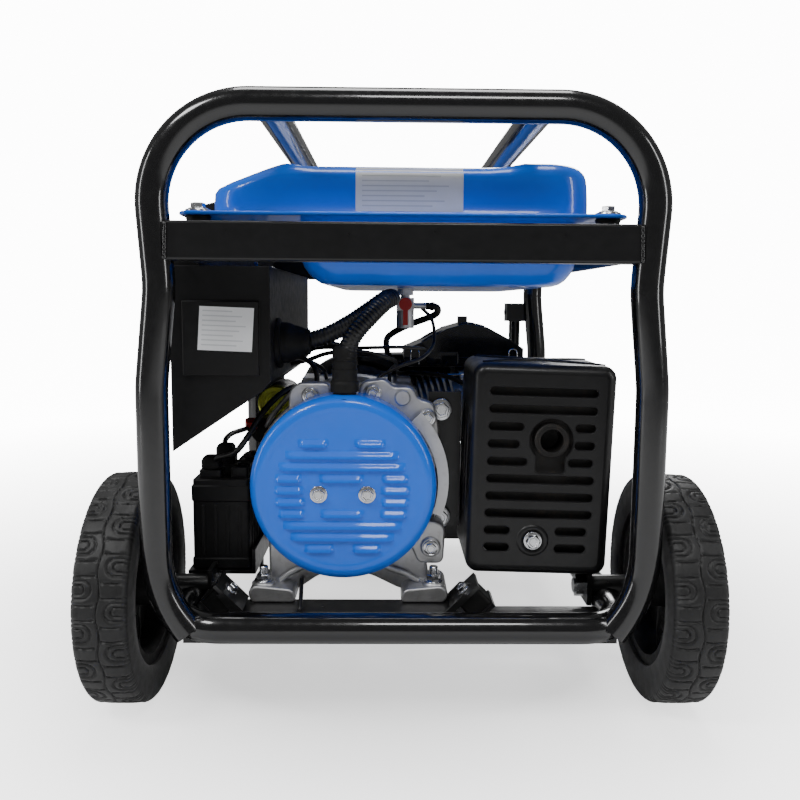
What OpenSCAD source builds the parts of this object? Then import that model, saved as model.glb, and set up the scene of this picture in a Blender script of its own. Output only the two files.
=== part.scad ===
// Open-frame portable generator: tube frame on two wheels, blue fuel tank, single-cylinder engine
// and alternator on rubber mounts. X is across the frame, the alternator end faces -Y, Z is up.

/* [Frame] */
// Distance between the centre planes of the two end hoops
frame_l = 656; // [640:1:670]
// Outer diameter of the frame tube
tube_d = 32; // [30:1:33]
// Height of the top of the frame above the floor
frame_top = 650; // [646:1:656]
// Height of the centre of the base loop above the floor
base_z = 112; // [110:1:114]

/* [Wheels] */
// Outer diameter of the wheels
wheel_d = 254; // [250:1:256]
// Width of the tyre
wheel_w = 56; // [50:1:58]
// Overall width across the wheels
track_w = 656; // [654:1:670]
// Radius of the wheel axle bolts
axle_r = 8; // [7:0.5:9]

/* [Fuel tank] */
// Length of the tank along the frame
tank_l = 540; // [500:1:544]
// Width of the tank's upper shell
tank_w = 402; // [390:1:406]
// Height of the tank's rim flange above the floor
tank_rim_z = 533; // [533:1:535]

/* [Engine and alternator] */
// Sideways place of the crankshaft
crank_x = -63; // [-65:1:-61]
// Height of the crankshaft
crank_z = 247; // [246:1:248]
// Radius of the alternator's end cover
cover_r = 101; // [96:1:102]
// Lean of the muffler, seen from the alternator end, in degrees
muffler_lean = 1.5; // [0:0.5:2]

/* [Moving parts] */
// Length of the folding handles
handle_l = 250; // [220:1:260]

/* [Hidden] */

$fn = 48;
tube_r = tube_d / 2;
hoop_y = frame_l / 2;
top_z = frame_top - tube_r;
clear = 0.4;
hairline = 0.02;

// Half of an end hoop, from the middle of its top bar: straight length, bend radius, bend angle.
// Positive angles bend towards the inside of the hoop.
hoop_bends = [
    [150, 95, 94],
    [60, 150, -10],
    [75, 200, 6],
    [161, 120, 38],
    [10, 0, 0]
];
base_x = 232;        // centre of the base loop's long tubes
base_bend_r = 46;
top_rail_x = 132;
rail_top = tank_rim_z - 10;
rail_h = 38;
side_rail_x = 224;
side_rail_w = 20;
crossbar_t = 25;

wheel_r = wheel_d / 2;
axle_y = 90 - hoop_y;
wheel_mid_x = track_w / 2 - wheel_w / 2;
rim_r = 88;
hub_half = 20;
sleeve_r = 12;
sleeve_x = [211, 262];

leg_y = hoop_y - 30;
leg_x = 169;
handle_x = 213;
pivot_y = hoop_y + 24;
pivot_z = 430;
handle_r = 10;
grip_r = 13;

// Crankshaft stations along Y, from the alternator end
cover_y = -280;
bracket_y = [-236, -200];
stator_y = [-200, -20];
case_y = [20, 190];
shroud_y = [190, 262];
recoil_y = [262, 304];
stator_r = 92;
stud_at = 96;        // radius of the long bolts around the stator
rotor_r = 60;
shaft_r = 12;
crank_r = 15;
running = 0.05;      // radial running clearance of the shafts
bed_z = 106;         // top of the bed beams
carrier_z = 110;     // underside of the carrier bars
carrier_t = 5;
foot_z = carrier_z + carrier_t;
mount_mid = -58;     // middle of each pair of rubber mounts
mount_x = 138;
foot_offset = 10;      // the foot on the muffler side stands further out
mount_ys = [-275, 120];

muffler_c = [150, -280, 267];
guard_size = [154, 122, 230];
outlet_at = [9, 34];
outlet_r = 12.5;

panel_y = [-270, 150];
panel_in = -140;
panel_out = -246;
battery_box = [[-242, -212, 136], [-173, -85, 242]];

// ---- helpers ----

module sided(s) mirror([s < 0 ? 1 : 0, 0, 0]) children();
module x_rod(r, x0, x1, y, z) translate([x0, y, z]) rotate([0, 90, 0]) cylinder(r = r, h = x1 - x0);
module y_rod(r, y0, y1, x, z) translate([x, y0, z]) rotate([-90, 0, 0]) cylinder(r = r, h = y1 - y0);
module z_rod(r, z0, z1, x, y) translate([x, y, z0]) cylinder(r = r, h = z1 - z0);
module block(a, b) translate(a) cube(b - a);

// Outline with round corners, drawn from squares and circles
module round_rect(w, h, r) {
    square([w - 2 * r, h], center = true);
    square([w, h - 2 * r], center = true);
    for (x = [-1, 1], y = [-1, 1]) translate([x * (w / 2 - r), y * (h / 2 - r)]) circle(r);
}

// A 2D outline of X and Z, extruded along Y from y0 to y1
module along_y(y0, y1) translate([0, y1, 0]) rotate([90, 0, 0]) linear_extrude(y1 - y0) children();

// A 2D outline of X and Y, extruded from z0 to z1
module along_z(z0, z1) translate([0, 0, z0]) linear_extrude(z1 - z0) children();

// Tube bent in a plane: it starts along +Z and bends towards +X at positive angles. The lengths
// are butted with a hairline gap and a short spigot inside each joint.
module bent_tube(r, bends, i = 0) {
    len_i = bends[i][0];
    bend_r = bends[i][1];
    angle = bends[i][2];
    translate([0, 0, i == 0 ? 0 : hairline]) cylinder(r = r, h = len_i - (i == 0 ? 1 : 2) * hairline);
    translate([0, 0, len_i]) {
        if (abs(angle) > 0) {
            rotate([0, 0, angle < 0 ? 180 : 0]) translate([bend_r, 0, 0]) rotate([90, 0, 180])
                rotate_extrude(angle = abs(angle)) translate([bend_r, 0]) circle(r);
            translate([0, 0, -2]) cylinder(r = r - 0.8, h = 4);
        }
        if (i < len(bends) - 1)
            translate([sign(angle) * bend_r * (1 - cos(angle)), 0, bend_r * sin(abs(angle))])
                rotate([0, angle, 0]) {
                    translate([0, 0, -2]) cylinder(r = r - 0.8, h = 4);
                    bent_tube(r, bends, i + 1);
                }
    }
}

// Smooth curve through hand-chosen points (Catmull-Rom), with steps points to a span
function spline_at(a, b, c, d, t) =
    0.5 * (2 * b + (c - a) * t + (2 * a - 5 * b + 4 * c - d) * t * t
        + (3 * b - a - 3 * c + d) * t * t * t);
function spline(p, steps) = [
    for (i = [0 : len(p) - 2], k = [0 : steps - 1])
        spline_at(p[max(i - 1, 0)], p[i], p[i + 1], p[min(i + 2, len(p) - 1)], k / steps),
    p[len(p) - 1]
];
function unit(v) = v / norm(v);

// Round hose of radius r through the points of a path; ref is never parallel to the path
module hose(path, r, ref = [0, 0, 1], sides = 10) {
    n = len(path);
    function tangent(i) = unit(path[min(i + 1, n - 1)] - path[max(i - 1, 0)]);
    rings = [
        for (i = [0 : n - 1])
            let (t = tangent(i), u = unit(cross(ref, t)), v = cross(t, u))
                for (k = [0 : sides - 1])
                    path[i] + r * (u * cos(360 * k / sides) + v * sin(360 * k / sides))
    ];
    sides_faces = [
        for (i = [0 : n - 2], k = [0 : sides - 1])
            let (a = i * sides + k, b = i * sides + (k + 1) % sides)
                [a, a + sides, b + sides, b]
    ];
    start_cap = [for (k = [0 : sides - 1]) k];
    end_cap = [for (k = [sides - 1 : -1 : 0]) (n - 1) * sides + k];
    polyhedron(rings, concat(sides_faces, [start_cap, end_cap]), convexity = 6);
}

// ---- frame ----

// Both halves of an end hoop in the plane y
module hoop_tube(y, r = tube_r)
    for (s = [-1, 1]) sided(s) translate([0, y, top_z]) rotate([0, 90, 0]) bent_tube(r, hoop_bends);

module base_tube(r = tube_r) {
    bx = base_x - base_bend_r;
    by = hoop_y - base_bend_r;
    for (s = [-1, 1]) {
        x_rod(r, -bx, bx, s * hoop_y, base_z);
        y_rod(r, -by, by, s * base_x, base_z);
        for (t = [-1, 1]) translate([s * bx, t * by, base_z])
            rotate([0, 0, s > 0 ? (t > 0 ? 0 : 270) : (t > 0 ? 90 : 180)])
                rotate_extrude(angle = 90) translate([base_bend_r, 0]) circle(r);
    }
}

module front_hoop() color([0.03, 0.03, 0.035]) hoop_tube(-hoop_y);
module rear_hoop() color([0.03, 0.03, 0.035]) hoop_tube(hoop_y);
module base_loop() color([0.03, 0.03, 0.035]) difference() {
    base_tube();
    for (s = [-1, 1]) sided(s) x_rod(sleeve_r, sleeve_x[0], sleeve_x[1], axle_y, wheel_r);
}

module top_rails() color([0.03, 0.03, 0.035]) difference() {
    for (s = [-1, 1]) y_rod(tube_r, -hoop_y, hoop_y, s * top_rail_x, top_z);
    for (s = [-1, 1]) x_rod(tube_r, -top_rail_x - 40, top_rail_x + 40, s * hoop_y, top_z);
}

// Box-section bars across the hoops, their ends let into the tubes
module tank_crossbars() color([0.02, 0.02, 0.022])
    for (s = [-1, 1]) translate([0, s * hoop_y, rail_top - rail_h / 2]) rotate([0, 90, 0])
        linear_extrude(2 * 236, center = true) round_rect(rail_h, crossbar_t, 3);

module tank_side_rails() color([0.02, 0.02, 0.022])
    for (s = [-1, 1]) sided(s) {
        y1 = hoop_y - crossbar_t / 2;
        block([side_rail_x - side_rail_w / 2, -y1, rail_top - rail_h],
              [side_rail_x - side_rail_w / 2 + 3, y1, rail_top]);
        block([side_rail_x - side_rail_w / 2 + 3, -y1, rail_top - 3],
              [side_rail_x + side_rail_w / 2, y1, rail_top]);
    }

// Hat-section beams between the base tubes, and the battery shelf
module bed_beams() color([0.03, 0.03, 0.035]) {
    difference() {
        for (y = mount_ys) {
            block([-base_x, y - 26, bed_z - 4], [base_x, y + 26, bed_z]);
            for (e = [y - 26, y + 22]) block([-base_x, e, bed_z - 22], [base_x, e + 4, bed_z]);
        }
        for (s = [-1, 1]) y_rod(tube_r, -hoop_y, hoop_y, s * base_x, base_z);
        for (x = [-195, 195]) z_rod(4, bed_z - 6, bed_z + 1, x, mount_ys[0] - 18);
    }
    difference() {
        union() {
            block([-246, -214, 131], [-168, -81, 135]);
            block([-172, -214, 131], [-168, -81, 160]);
            block([-172, -160, bed_z - 4], [-168, -150, 132]);
            block([-172, mount_ys[0] + 25, bed_z - 4], [-168, -150, bed_z]);
        }
        y_rod(tube_r + 0.5, -hoop_y, hoop_y, -base_x, base_z);
    }
}

// The frame of one rubber mount: origin at its centre, axis down and outwards at 45 degrees
module at_mount(s, y) translate([mount_mid + s * mount_x, y, 124]) sided(s) rotate([0, 135, 0]) children();
module at_all_mounts() for (y = mount_ys, s = [-1, 1]) at_mount(s, y) children();

rubber_h = 22;
module rubber_mounts() color([0.05, 0.05, 0.055]) at_all_mounts() {
    translate([0, 0, -rubber_h / 2]) linear_extrude(rubber_h) round_rect(28, 35, 4);
}
module mount_brackets() color([0.03, 0.03, 0.035]) difference() {
    union() {
        at_all_mounts() translate([-15, -22, rubber_h / 2]) cube([38, 44, 4]);
        for (y = mount_ys, s = [-1, 1], e = [-22, 18]) translate([mount_mid, y + e, 0]) sided(s)
            translate([0, 4, 0]) rotate([90, 0, 0]) linear_extrude(4)
                polygon([[mount_x - 6, bed_z], [mount_x + 15, bed_z], [mount_x + 15, bed_z + 13],
                         [mount_x + 13, bed_z + 12]]);
    }
    translate([-300, -400, bed_z - 60]) cube([600, 800, 60]);
}
module carrier_bars() color([0.03, 0.03, 0.035]) difference() {
    union() {
        for (y = mount_ys) {
            block([mount_mid - 118, y - 22, carrier_z], [mount_mid + 118, y + 22, foot_z]);
            for (s = [-1, 1]) at_mount(s, y) translate([-17, -22, -rubber_h / 2 - 4]) cube([40, 44, 4]);
            for (s = [-1, 1], e = [-22, 18]) translate([crank_x, y + e, 0]) sided(s)
                translate([0, 4, 0]) rotate([90, 0, 0]) linear_extrude(4)
                    polygon([[109, foot_z], [mount_x - 20, foot_z], [mount_x - 4, foot_z + 21],
                             [mount_x - 9, foot_z + 21]]);
        }
    }
    translate([-300, -400, bed_z]) cube([600, 800, carrier_z - bed_z]);
    translate([-300, -400, bed_z - 30]) cube([600, 800, 30]);
}

// ---- wheels ----

// Tyre section: radius outwards, width along the wheel's axis
function arc(c, r, a0, a1, n) = [for (i = [0 : n]) c + r * [cos(a0 + (a1 - a0) * i / n),
                                                         sin(a0 + (a1 - a0) * i / n)]];
module tyre_section() {
    w = wheel_w / 2;
    sr = 8;
    polygon(concat(
        [[rim_r, -w + 3], [rim_r, w - 3], [rim_r + 4, w]],
        arc([wheel_r - sr, w - sr], sr, 90, 0, 5),
        [[wheel_r, 1.5], [wheel_r - 2.5, 1], [wheel_r - 2.5, -1], [wheel_r, -1.5]],
        arc([wheel_r - sr, -w + sr], sr, 0, -90, 5),
        [[rim_r + 4, -w]]));
}
module at_wheel() translate([wheel_mid_x, axle_y, wheel_r]) rotate([0, 90, 0]) children();
module tyre() color([0.04, 0.04, 0.042]) at_wheel() rotate_extrude($fn = 96) tyre_section();
module rim() color([0.05, 0.05, 0.055]) at_wheel() difference() {
    union() {
        rotate_extrude($fn = 96) polygon([
            [axle_r + running, -hub_half], [22, -hub_half], [24, 0], [70, 4], [76, -22], [rim_r, -22],
            [rim_r, 22], [82, 22], [79, 10], [24, 8], [22, hub_half - 4], [axle_r + running, hub_half - 4]]);
    }
    for (a = [0 : 60 : 359]) rotate([0, 0, a]) translate([48, 0, -10]) cylinder(r = 11, h = 30);
}
module left_tyre() sided(-1) tyre();
module right_tyre() tyre();
module left_rim() sided(-1) rim();
module right_rim() rim();

module axle_sleeves() color([0.03, 0.03, 0.035]) for (s = [-1, 1]) sided(s) difference() {
    union() {
        x_rod(sleeve_r, sleeve_x[0], sleeve_x[1], axle_y, wheel_r);
        block([sleeve_x[0], axle_y - 12, bed_z + 1], [sleeve_x[0] + 5, axle_y + 22, wheel_r + 20]);
    }
    x_rod(axle_r + 0.1, sleeve_x[0] - 1, sleeve_x[1] + 1, axle_y, wheel_r);
}
module axle_bolts() color([0.75, 0.76, 0.78]) for (s = [-1, 1]) sided(s) {
    hub_out = wheel_mid_x + hub_half - 4;
    x_rod(axle_r, sleeve_x[0] - 14, hub_out + 1, axle_y, wheel_r);
    x_rod(14, hub_out + clear, hub_out + 3, axle_y, wheel_r);
    translate([hub_out + 3, axle_y, wheel_r]) rotate([0, 90, 0]) cylinder(r = 13, h = 8, $fn = 6);
    translate([sleeve_x[0] - 12, axle_y, wheel_r]) rotate([0, 90, 0]) cylinder(r = 13, h = 12, $fn = 6);
    x_rod(13, sleeve_x[1], wheel_mid_x - hub_half - clear, axle_y, wheel_r);
}

// ---- rear support and handles ----

module support_leg() color([0.03, 0.03, 0.035]) {
    block([-leg_x - 14, leg_y - 14, base_z - tube_r - 24], [leg_x + 14, leg_y + 14, base_z - tube_r]);
    for (s = [-1, 1]) block([s * leg_x - 14, leg_y - 14, 20], [s * leg_x + 14, leg_y + 14, 73]);
    for (s = [-1, 1]) difference() {
        block([s * leg_x - 14, leg_y - 8, base_z - tube_r], [s * leg_x + 14, hoop_y - tube_r + 6, base_z]);
        x_rod(tube_r, -leg_x - 20, leg_x + 20, hoop_y, base_z);
    }
}
module rubber_feet() color([0.05, 0.05, 0.05])
    for (s = [-1, 1]) translate([s * leg_x, leg_y, 0]) cylinder(r1 = 20, r2 = 17, h = 20);

module handle_brackets() color([0.03, 0.03, 0.035]) for (s = [-1, 1]) sided(s) {
    difference() {
        union() {
            for (x = [handle_x - grip_r - 4, handle_x + grip_r])
                block([x, hoop_y + 2, pivot_z - 16], [x + 4, pivot_y + 13, pivot_z + 16]);
            block([handle_x - grip_r - 4, hoop_y + 2, pivot_z - 16],
                  [252, hoop_y + 6, pivot_z + 16]);
        }
        x_rod(5, handle_x - 30, handle_x + 30, pivot_y, pivot_z);
    }
    x_rod(5, handle_x - grip_r - 6, handle_x + grip_r + 6, pivot_y, pivot_z);
}
module handle(s) color([0.03, 0.03, 0.035]) sided(s) difference() {
    union() {
        z_rod(handle_r, pivot_z - handle_l, pivot_z, handle_x, pivot_y);
        x_rod(handle_r, handle_x - 10, handle_x + 10, pivot_y, pivot_z);
    }
    x_rod(5 + running, handle_x - 20, handle_x + 20, pivot_y, pivot_z);
}
module grip(s) color([0.02, 0.02, 0.02]) sided(s) difference() {
    z_rod(grip_r, pivot_z - handle_l - 3, pivot_z - handle_l + 112, handle_x, pivot_y);
    z_rod(handle_r, pivot_z - handle_l, pivot_z, handle_x, pivot_y);
}
module left_handle() handle(-1);
module right_handle() handle(1);
module left_grip() grip(-1);
module right_grip() grip(1);

// ---- fuel tank ----

rim_w = 454;
rim_l = tank_l + 60;
rim_t = 3;
cap_at = [40, 40];
gauge_at = [-90, 40];
bolt_spots = [for (x = [-1, 1], y = [-1, 1]) [x * 210, y * (rim_l / 2 - 15)]];
module tank_dome(grow) {
    z0 = tank_rim_z + 1;
    w = tank_w + 2 * grow;
    l = tank_l + 2 * grow;
    hull() {
        along_z(z0, z0 + 26 + grow) round_rect(w, l, 40, $fn = 32);
        translate([20, 0, 0]) along_z(z0, z0 + 52 + grow) round_rect(w - 80, l - 24, 34, $fn = 32);
        translate([20, 0, 0]) along_z(z0, z0 + 58 + grow) round_rect(w - 110, l - 60, 28, $fn = 32);
    }
}
module tank_upper() color([0.02, 0.2, 0.75]) difference() {
    union() {
        tank_dome(0);
        along_z(tank_rim_z, tank_rim_z + rim_t) round_rect(rim_w, rim_l, 12);
    }
    tank_dome(-2);
    translate([0, 0, tank_rim_z - 1]) linear_extrude(2.5) round_rect(tank_w - 4, tank_l - 4, 38);
    for (p = bolt_spots) z_rod(4.5, tank_rim_z - 1, tank_rim_z + 5, p[0], p[1]);
    z_rod(26, tank_rim_z + 30, tank_rim_z + 80, cap_at[0], cap_at[1]);
}
module tank_pan(grow) hull() {
    translate([40, 0, 0]) along_z(486 - grow, tank_rim_z)
        round_rect(304 + 2 * grow, 500 + 2 * grow, 30, $fn = 32);
    translate([42, 0, 0]) along_z(464 - grow, 480) round_rect(262 + 2 * grow, 460 + 2 * grow, 26, $fn = 32);
}
module tank_lower() color([0.02, 0.15, 0.6]) difference() {
    tank_pan(0);
    translate([0, 0, 0.01]) tank_pan(-2);
    z_rod(7, 455, 470, 6, -100);
}
module tank_bolts() color([0.8, 0.81, 0.83]) for (p = bolt_spots) {
    z_rod(4, rail_top - 8, tank_rim_z + 8, p[0], p[1]);
    z_rod(11, tank_rim_z + rim_t + 0.5, tank_rim_z + rim_t + 2.5, p[0], p[1]);
    translate([p[0], p[1], tank_rim_z + rim_t + 2.5]) cylinder(r = 7, h = 5, $fn = 6);
}
module tank_grommets() color([0.04, 0.04, 0.04]) for (p = bolt_spots) difference() {
    z_rod(12, rail_top, tank_rim_z, p[0], p[1]);
    z_rod(4.1, rail_top - 1, tank_rim_z + 1, p[0], p[1]);
}
cap_z = tank_rim_z + 59 + clear;
module fuel_cap() color([0.03, 0.03, 0.03]) translate([cap_at[0], cap_at[1], cap_z]) difference() {
    union() {
        cylinder(r = 34, h = 18);
        translate([0, 0, -16]) cylinder(r = 25.5, h = 17);
        translate([0, 0, 18]) linear_extrude(7) round_rect(54, 12, 4);
    }
    for (a = [0 : 30 : 359]) rotate([0, 0, a]) translate([36, 0, -1]) cylinder(r = 4, h = 20);
}
module fuel_gauge() color([0.9, 0.9, 0.9]) translate([gauge_at[0], gauge_at[1], tank_rim_z + 59]) {
    cylinder(r = 19, h = 6);
    translate([0, 0, 6]) cylinder(r1 = 17, r2 = 14, h = 3);
}
valve_at = [6, -100];
module fuel_valve() color([0.6, 0.6, 0.62]) translate([valve_at[0], valve_at[1], 0]) {
    z_rod(6, 436, 468, 0, 0);
    z_rod(10, 455, 463.5, 0, 0);
    block([-11, -9, 436], [11, 9, 452]);
    z_rod(11, 414, 436, 0, 0);
    x_rod(4, 11, 26, 0, 442);
}
module fuel_valve_lever() color([0.7, 0.1, 0.08]) translate([valve_at[0], valve_at[1], 444]) {
    y_rod(8, -17, -9 - clear, 0, 0);
    block([-3, -17, -26], [3, -12, 0]);
}
fuel_route = [[32.2, -100, 442], [46, -96, 440], [44, -74, 430], [10, -50, 416], [-14, 0, 400],
              [-18, 60, 384], [-14, 110, 366], [-2, 138, 352], [20, 160, 344], [50, 174, 340],
              [83.9, 178, 338]];
module fuel_line() color([0.08, 0.08, 0.08]) hose(spline(fuel_route, 4), 4.5);

// ---- alternator ----

module at_crank() translate([crank_x, 0, crank_z]) children();
module stator() color([0.35, 0.36, 0.38]) at_crank() difference() {
    union() {
        y_rod(stator_r, stator_y[0], stator_y[1], 0, 0);
        for (a = [45 : 90 : 359])
            y_rod(6, stator_y[0] - 8, stator_y[1] - 1, stud_at * cos(a), stud_at * sin(a));
        for (a = [45 : 90 : 359]) rotate([0, -a, 0])
            block([84, stator_y[0] + 1, -9], [98, stator_y[1] - 2, 9]);
    }
    y_rod(rotor_r + 1, stator_y[0] - 1, stator_y[1] + 1, 0, 0);
}
module rotor() color([0.5, 0.35, 0.25]) at_crank() {
    y_rod(rotor_r, stator_y[0] + 12, stator_y[1] - 12, 0, 0);
    y_rod(shaft_r, -246, stator_y[1] + 10, 0, 0);
}
// Cast end frame with its two feet and the lugs for the long bolts
module end_bracket() color([0.78, 0.79, 0.8]) difference() {
    y0 = bracket_y[0];
    y1 = bracket_y[1];
    at_crank() union() {
        y_rod(104, y0 + 6, y1, 0, 0);
        along_y(y0, y0 + 24) polygon([[-62, 78], [-62, 102], [-52, 110], [-16, 110], [-16, 84]]);
        along_y(y0, y0 + 24) polygon([[16, 84], [16, 112], [44, 115], [52, 106], [76, 106], [82, 92],
                                      [100, 88], [106, 60], [104, 10], [80, 10]]);
        along_y(y0, y0 + 24) polygon([[66, -56], [84, -96], [112, -96], [114, -52], [100, -46]]);
        for (s = [-1, 1]) let (o = s > 0 ? foot_offset : 0) sided(s) {
            along_y(mount_ys[0] + 10, y1) polygon([[52 + o, foot_z - crank_z],
                [104 + 0.4 * o, foot_z - crank_z], [106 + o, foot_z + 14 - crank_z],
                [100 + o, foot_z + 22 - crank_z], [84 + o, foot_z + 24 - crank_z],
                [54 + o, foot_z + 14 - crank_z]]);
            along_y(y0, y1) polygon([[52 + o, foot_z - crank_z + 4], [80 + o, foot_z - crank_z + 8],
                [86 + o, foot_z + 20 - crank_z], [62, -70], [20, -92], [0, -96], [0, -106],
                [30, -110]]);
        }
    }
    at_crank() y_rod(86, y0 + 16, y1 + 1, 0, 0);
    at_crank() y_rod(shaft_r + running, y0 - 1, y1 + 1, 0, 0);
    at_crank() y_rod(cover_r + 0.6, -300, y0 - 0.3, 0, 0);
    at_crank() for (a = [45 : 90 : 359]) y_rod(6.2, y1 - 12, y1 + 1, stud_at * cos(a), stud_at * sin(a));
}
module end_cover() color([0.02, 0.25, 0.8]) at_crank() difference() {
    rotate([-90, 0, 0]) translate([0, 0, cover_y]) rotate_extrude($fn = 96)
        polygon(concat([[0, 0]], arc([cover_r - 12, 12], 12, -90, 0, 6),
                       [[cover_r, 44], [cover_r - 1.5, 44]], arc([cover_r - 12, 12], 10.5, 0, -90, 6),
                       [[0, 1.5]]));
    for (x = [-26, 26]) y_rod(4.2, cover_y - 1, cover_y + 3, x, -6);
}
module cover_bolts() color([0.8, 0.81, 0.83]) at_crank() for (x = [-26, 26]) {
    y_rod(4, cover_y - 2, bracket_y[0] - 0.3, x, -6);
    translate([x, cover_y - 0.3, -6]) rotate([90, 0, 0]) cylinder(r = 7, h = 5, $fn = 6);
}

// ---- engine ----

module crankcase() color([0.7, 0.7, 0.72]) difference() {
    union() {
        translate([crank_x + 3, 0, 230]) along_y(case_y[0], case_y[1]) round_rect(176, 200, 18);
        at_crank() y_rod(98, stator_y[1], case_y[0] + 6, 0, 0);
        block([crank_x - 105, 60, foot_z], [crank_x + 105, 165, 135]);
        for (x = [-132, 8]) block([x - 10, 70, 326], [x + 10, 150, 334]);
    }
    translate([crank_x + 3, 0, 230]) along_y(case_y[0] + 8, case_y[1] - 8) round_rect(160, 184, 12);
    at_crank() y_rod(84, stator_y[1] - 1, case_y[0] - 4, 0, 0);
    at_crank() y_rod(crank_r + running, case_y[0] - 10, case_y[1] + 1, 0, 0);
    at_crank() x_rod(39, 60, 100, 105, 20);
}
module at_cylinder() translate([crank_x, 105, crank_z]) rotate([0, 75, 0]) children();
module cylinder_head() color([0.68, 0.69, 0.7]) difference() {
    at_cylinder() {
        translate([0, 0, 90]) cylinder(r = 52, h = 90);
        for (z = [100 : 9 : 160]) translate([0, 0, z]) linear_extrude(3) round_rect(112, 118, 10);
        translate([0, 0, 172]) linear_extrude(24) round_rect(112, 112, 10);
        translate([0, 0, 196]) linear_extrude(26) round_rect(84, 92, 12);
    }
    at_cylinder() translate([0, 0, 80]) cylinder(r = 44, h = 92);
    translate([crank_x + 3 - 88, 0, 100]) cube([176, case_y[1], 230]);
    y_rod(14.2, 0, 62, 118, 292);
}
module crankshaft() color([0.5, 0.5, 0.52]) at_crank() {
    y_rod(crank_r, stator_y[1] + 10, 100, 0, 0);
    y_rod(crank_r, 122, 200, 0, 0);
    for (y = [80, 120]) y_rod(44, y, y + 14, 0, -12);
    y_rod(14, 80, 134, 0, 24);
}
module flywheel() color([0.35, 0.35, 0.37]) at_crank() difference() {
    union() {
        y_rod(96, 204, 222, 0, 0);
        y_rod(30, 200, 246, 0, 0);
        for (a = [0 : 30 : 359]) rotate([0, a, 0]) block([50, 222, -1.5], [94, 240, 1.5]);
    }
    y_rod(12, 204, 250, 0, 0);
}
module fan_shroud() color([0.04, 0.04, 0.045]) difference() {
    union() {
        at_crank() y_rod(116, shroud_y[0], shroud_y[1], 0, 0);
        at_crank() along_y(shroud_y[0], shroud_y[1] - 10)
            polygon([[0, 114], [150, 118], [176, 90], [176, -10], [100, -52], [0, -60]]);
    }
    at_crank() y_rod(113, shroud_y[0] + 3, shroud_y[1] - 3, 0, 0);
    at_crank() along_y(shroud_y[0] - 1, shroud_y[1] - 13)
        polygon([[0, 111], [149, 115], [173, 89], [173, -8], [100, -49], [0, -50]]);
    at_crank() y_rod(32, shroud_y[0] - 1, shroud_y[0] + 5, 0, 0);
    at_crank() y_rod(62, shroud_y[1] - 5, shroud_y[1] + 1, 0, 0);
}
module recoil_cover() color([0.03, 0.03, 0.03]) at_crank() difference() {
    rotate([-90, 0, 0]) rotate_extrude($fn = 64) polygon([
        [0, recoil_y[1]], [56, recoil_y[1]], [84, recoil_y[1] - 14], [90, recoil_y[0]],
        [87, recoil_y[0]], [81, recoil_y[1] - 16], [55, recoil_y[1] - 3], [0, recoil_y[1] - 3]]);
    for (a = [0 : 30 : 359]) rotate([0, a, 0]) translate([38, recoil_y[1] - 6, 0])
        rotate([-90, 0, 0]) linear_extrude(8) round_rect(28, 7, 3);
}
// Pull grip at rest on the side of the recoil housing; it leaves up and to the left
grip_dir = 150;
module recoil_grip() color([0.02, 0.02, 0.02]) at_crank() translate([0, 284, 0]) rotate([0, -grip_dir, 0]) {
    translate([93, 0, 0]) rotate([0, 90, 0]) cylinder(r = 6, h = 16);
    translate([112, 0, -32]) linear_extrude(64) round_rect(16, 20, 7);
}

module at_muffler() translate(muffler_c) rotate([0, muffler_lean, 0]) children();
module muffler_body() color([0.12, 0.12, 0.12]) {
    at_muffler() difference() {
        union() {
            along_y(14, 108) round_rect(130, 196, 30);
            y_rod(18, -2, 20, outlet_at[0], outlet_at[1]);
        }
        y_rod(outlet_r, -3, 40, outlet_at[0], outlet_at[1]);
        along_y(17, 105) round_rect(124, 190, 27);
    }
    y_rod(14, -174, 61, 118, 292);
}
// Slots of the guard: row from the top, left end, right end
slot_rows = [for (row = [0, 1, 5, 6, 7]) [row, -60, 58],
             [2, -60, -20], [2, 33, 57], [3, -60, -24], [3, 33, 57], [4, -60, -15], [4, 27, 56],
             [8, -60, -30], [8, 17, 53], [9, -60, -30], [9, 17, 53]];
module guard_slots() for (s = slot_rows) {
    z = 85.5 - 18.9 * s[0];
    translate([(s[1] + s[2]) / 2, z]) round_rect(s[2] - s[1], 10.4, 5);
}
module muffler_guard() color([0.04, 0.04, 0.043]) at_muffler() difference() {
    w = guard_size[0];
    d = guard_size[1];
    h = guard_size[2];
    union() {
        along_y(8, d) round_rect(w, h, 14);
        along_y(4, 8) round_rect(w - 5, h - 5, 12);
        along_y(0, 4) round_rect(w - 14, h - 14, 10);
    }
    along_y(10, d + 1) round_rect(w - 4, h - 4, 12);
    along_y(2, 12) round_rect(w - 18, h - 18, 8);
    along_y(-1, 5) guard_slots();
    along_y(-1, 5) {
        translate(outlet_at) circle(24);
        translate([outlet_at[0] - 4, outlet_at[1] - 24]) round_rect(40, 22, 8);
    }
    y_rod(4.5, -1, 5, -6, -76);
}
module muffler_bracket() color([0.09, 0.09, 0.1]) {
    difference() {
        union() {
            block([32, -200, 186], [69.5, -195, 344]);
            block([64.5, -200, 186], [69.5, -170, 344]);
        }
        for (z = [198, 324]) y_rod(5, -206, -190, 46, z);
    }
    for (z = [198, 324]) {
        y_rod(4.9, -204, -188, 46, z);
        translate([46, -200, z]) rotate([90, 0, 0]) cylinder(r = 9, h = 6, $fn = 6);
    }
    at_muffler() {
        y_rod(4.4, -2, 13.8, -6, -76);
        translate([-6, -0.3, -76]) rotate([90, 0, 0]) cylinder(r = 8, h = 5, $fn = 6);
    }
}
module cleaner_section(t) polygon([[8 + t, 352 + t], [8 + t, 377 - t / 2], [40, 391 - t], [70, 408 - t],
    [98, 416 - t], [130, 411 - t], [162, 394 - t], [184 - t, 380 - t / 2], [184 - t, 352 + t]]);
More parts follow.
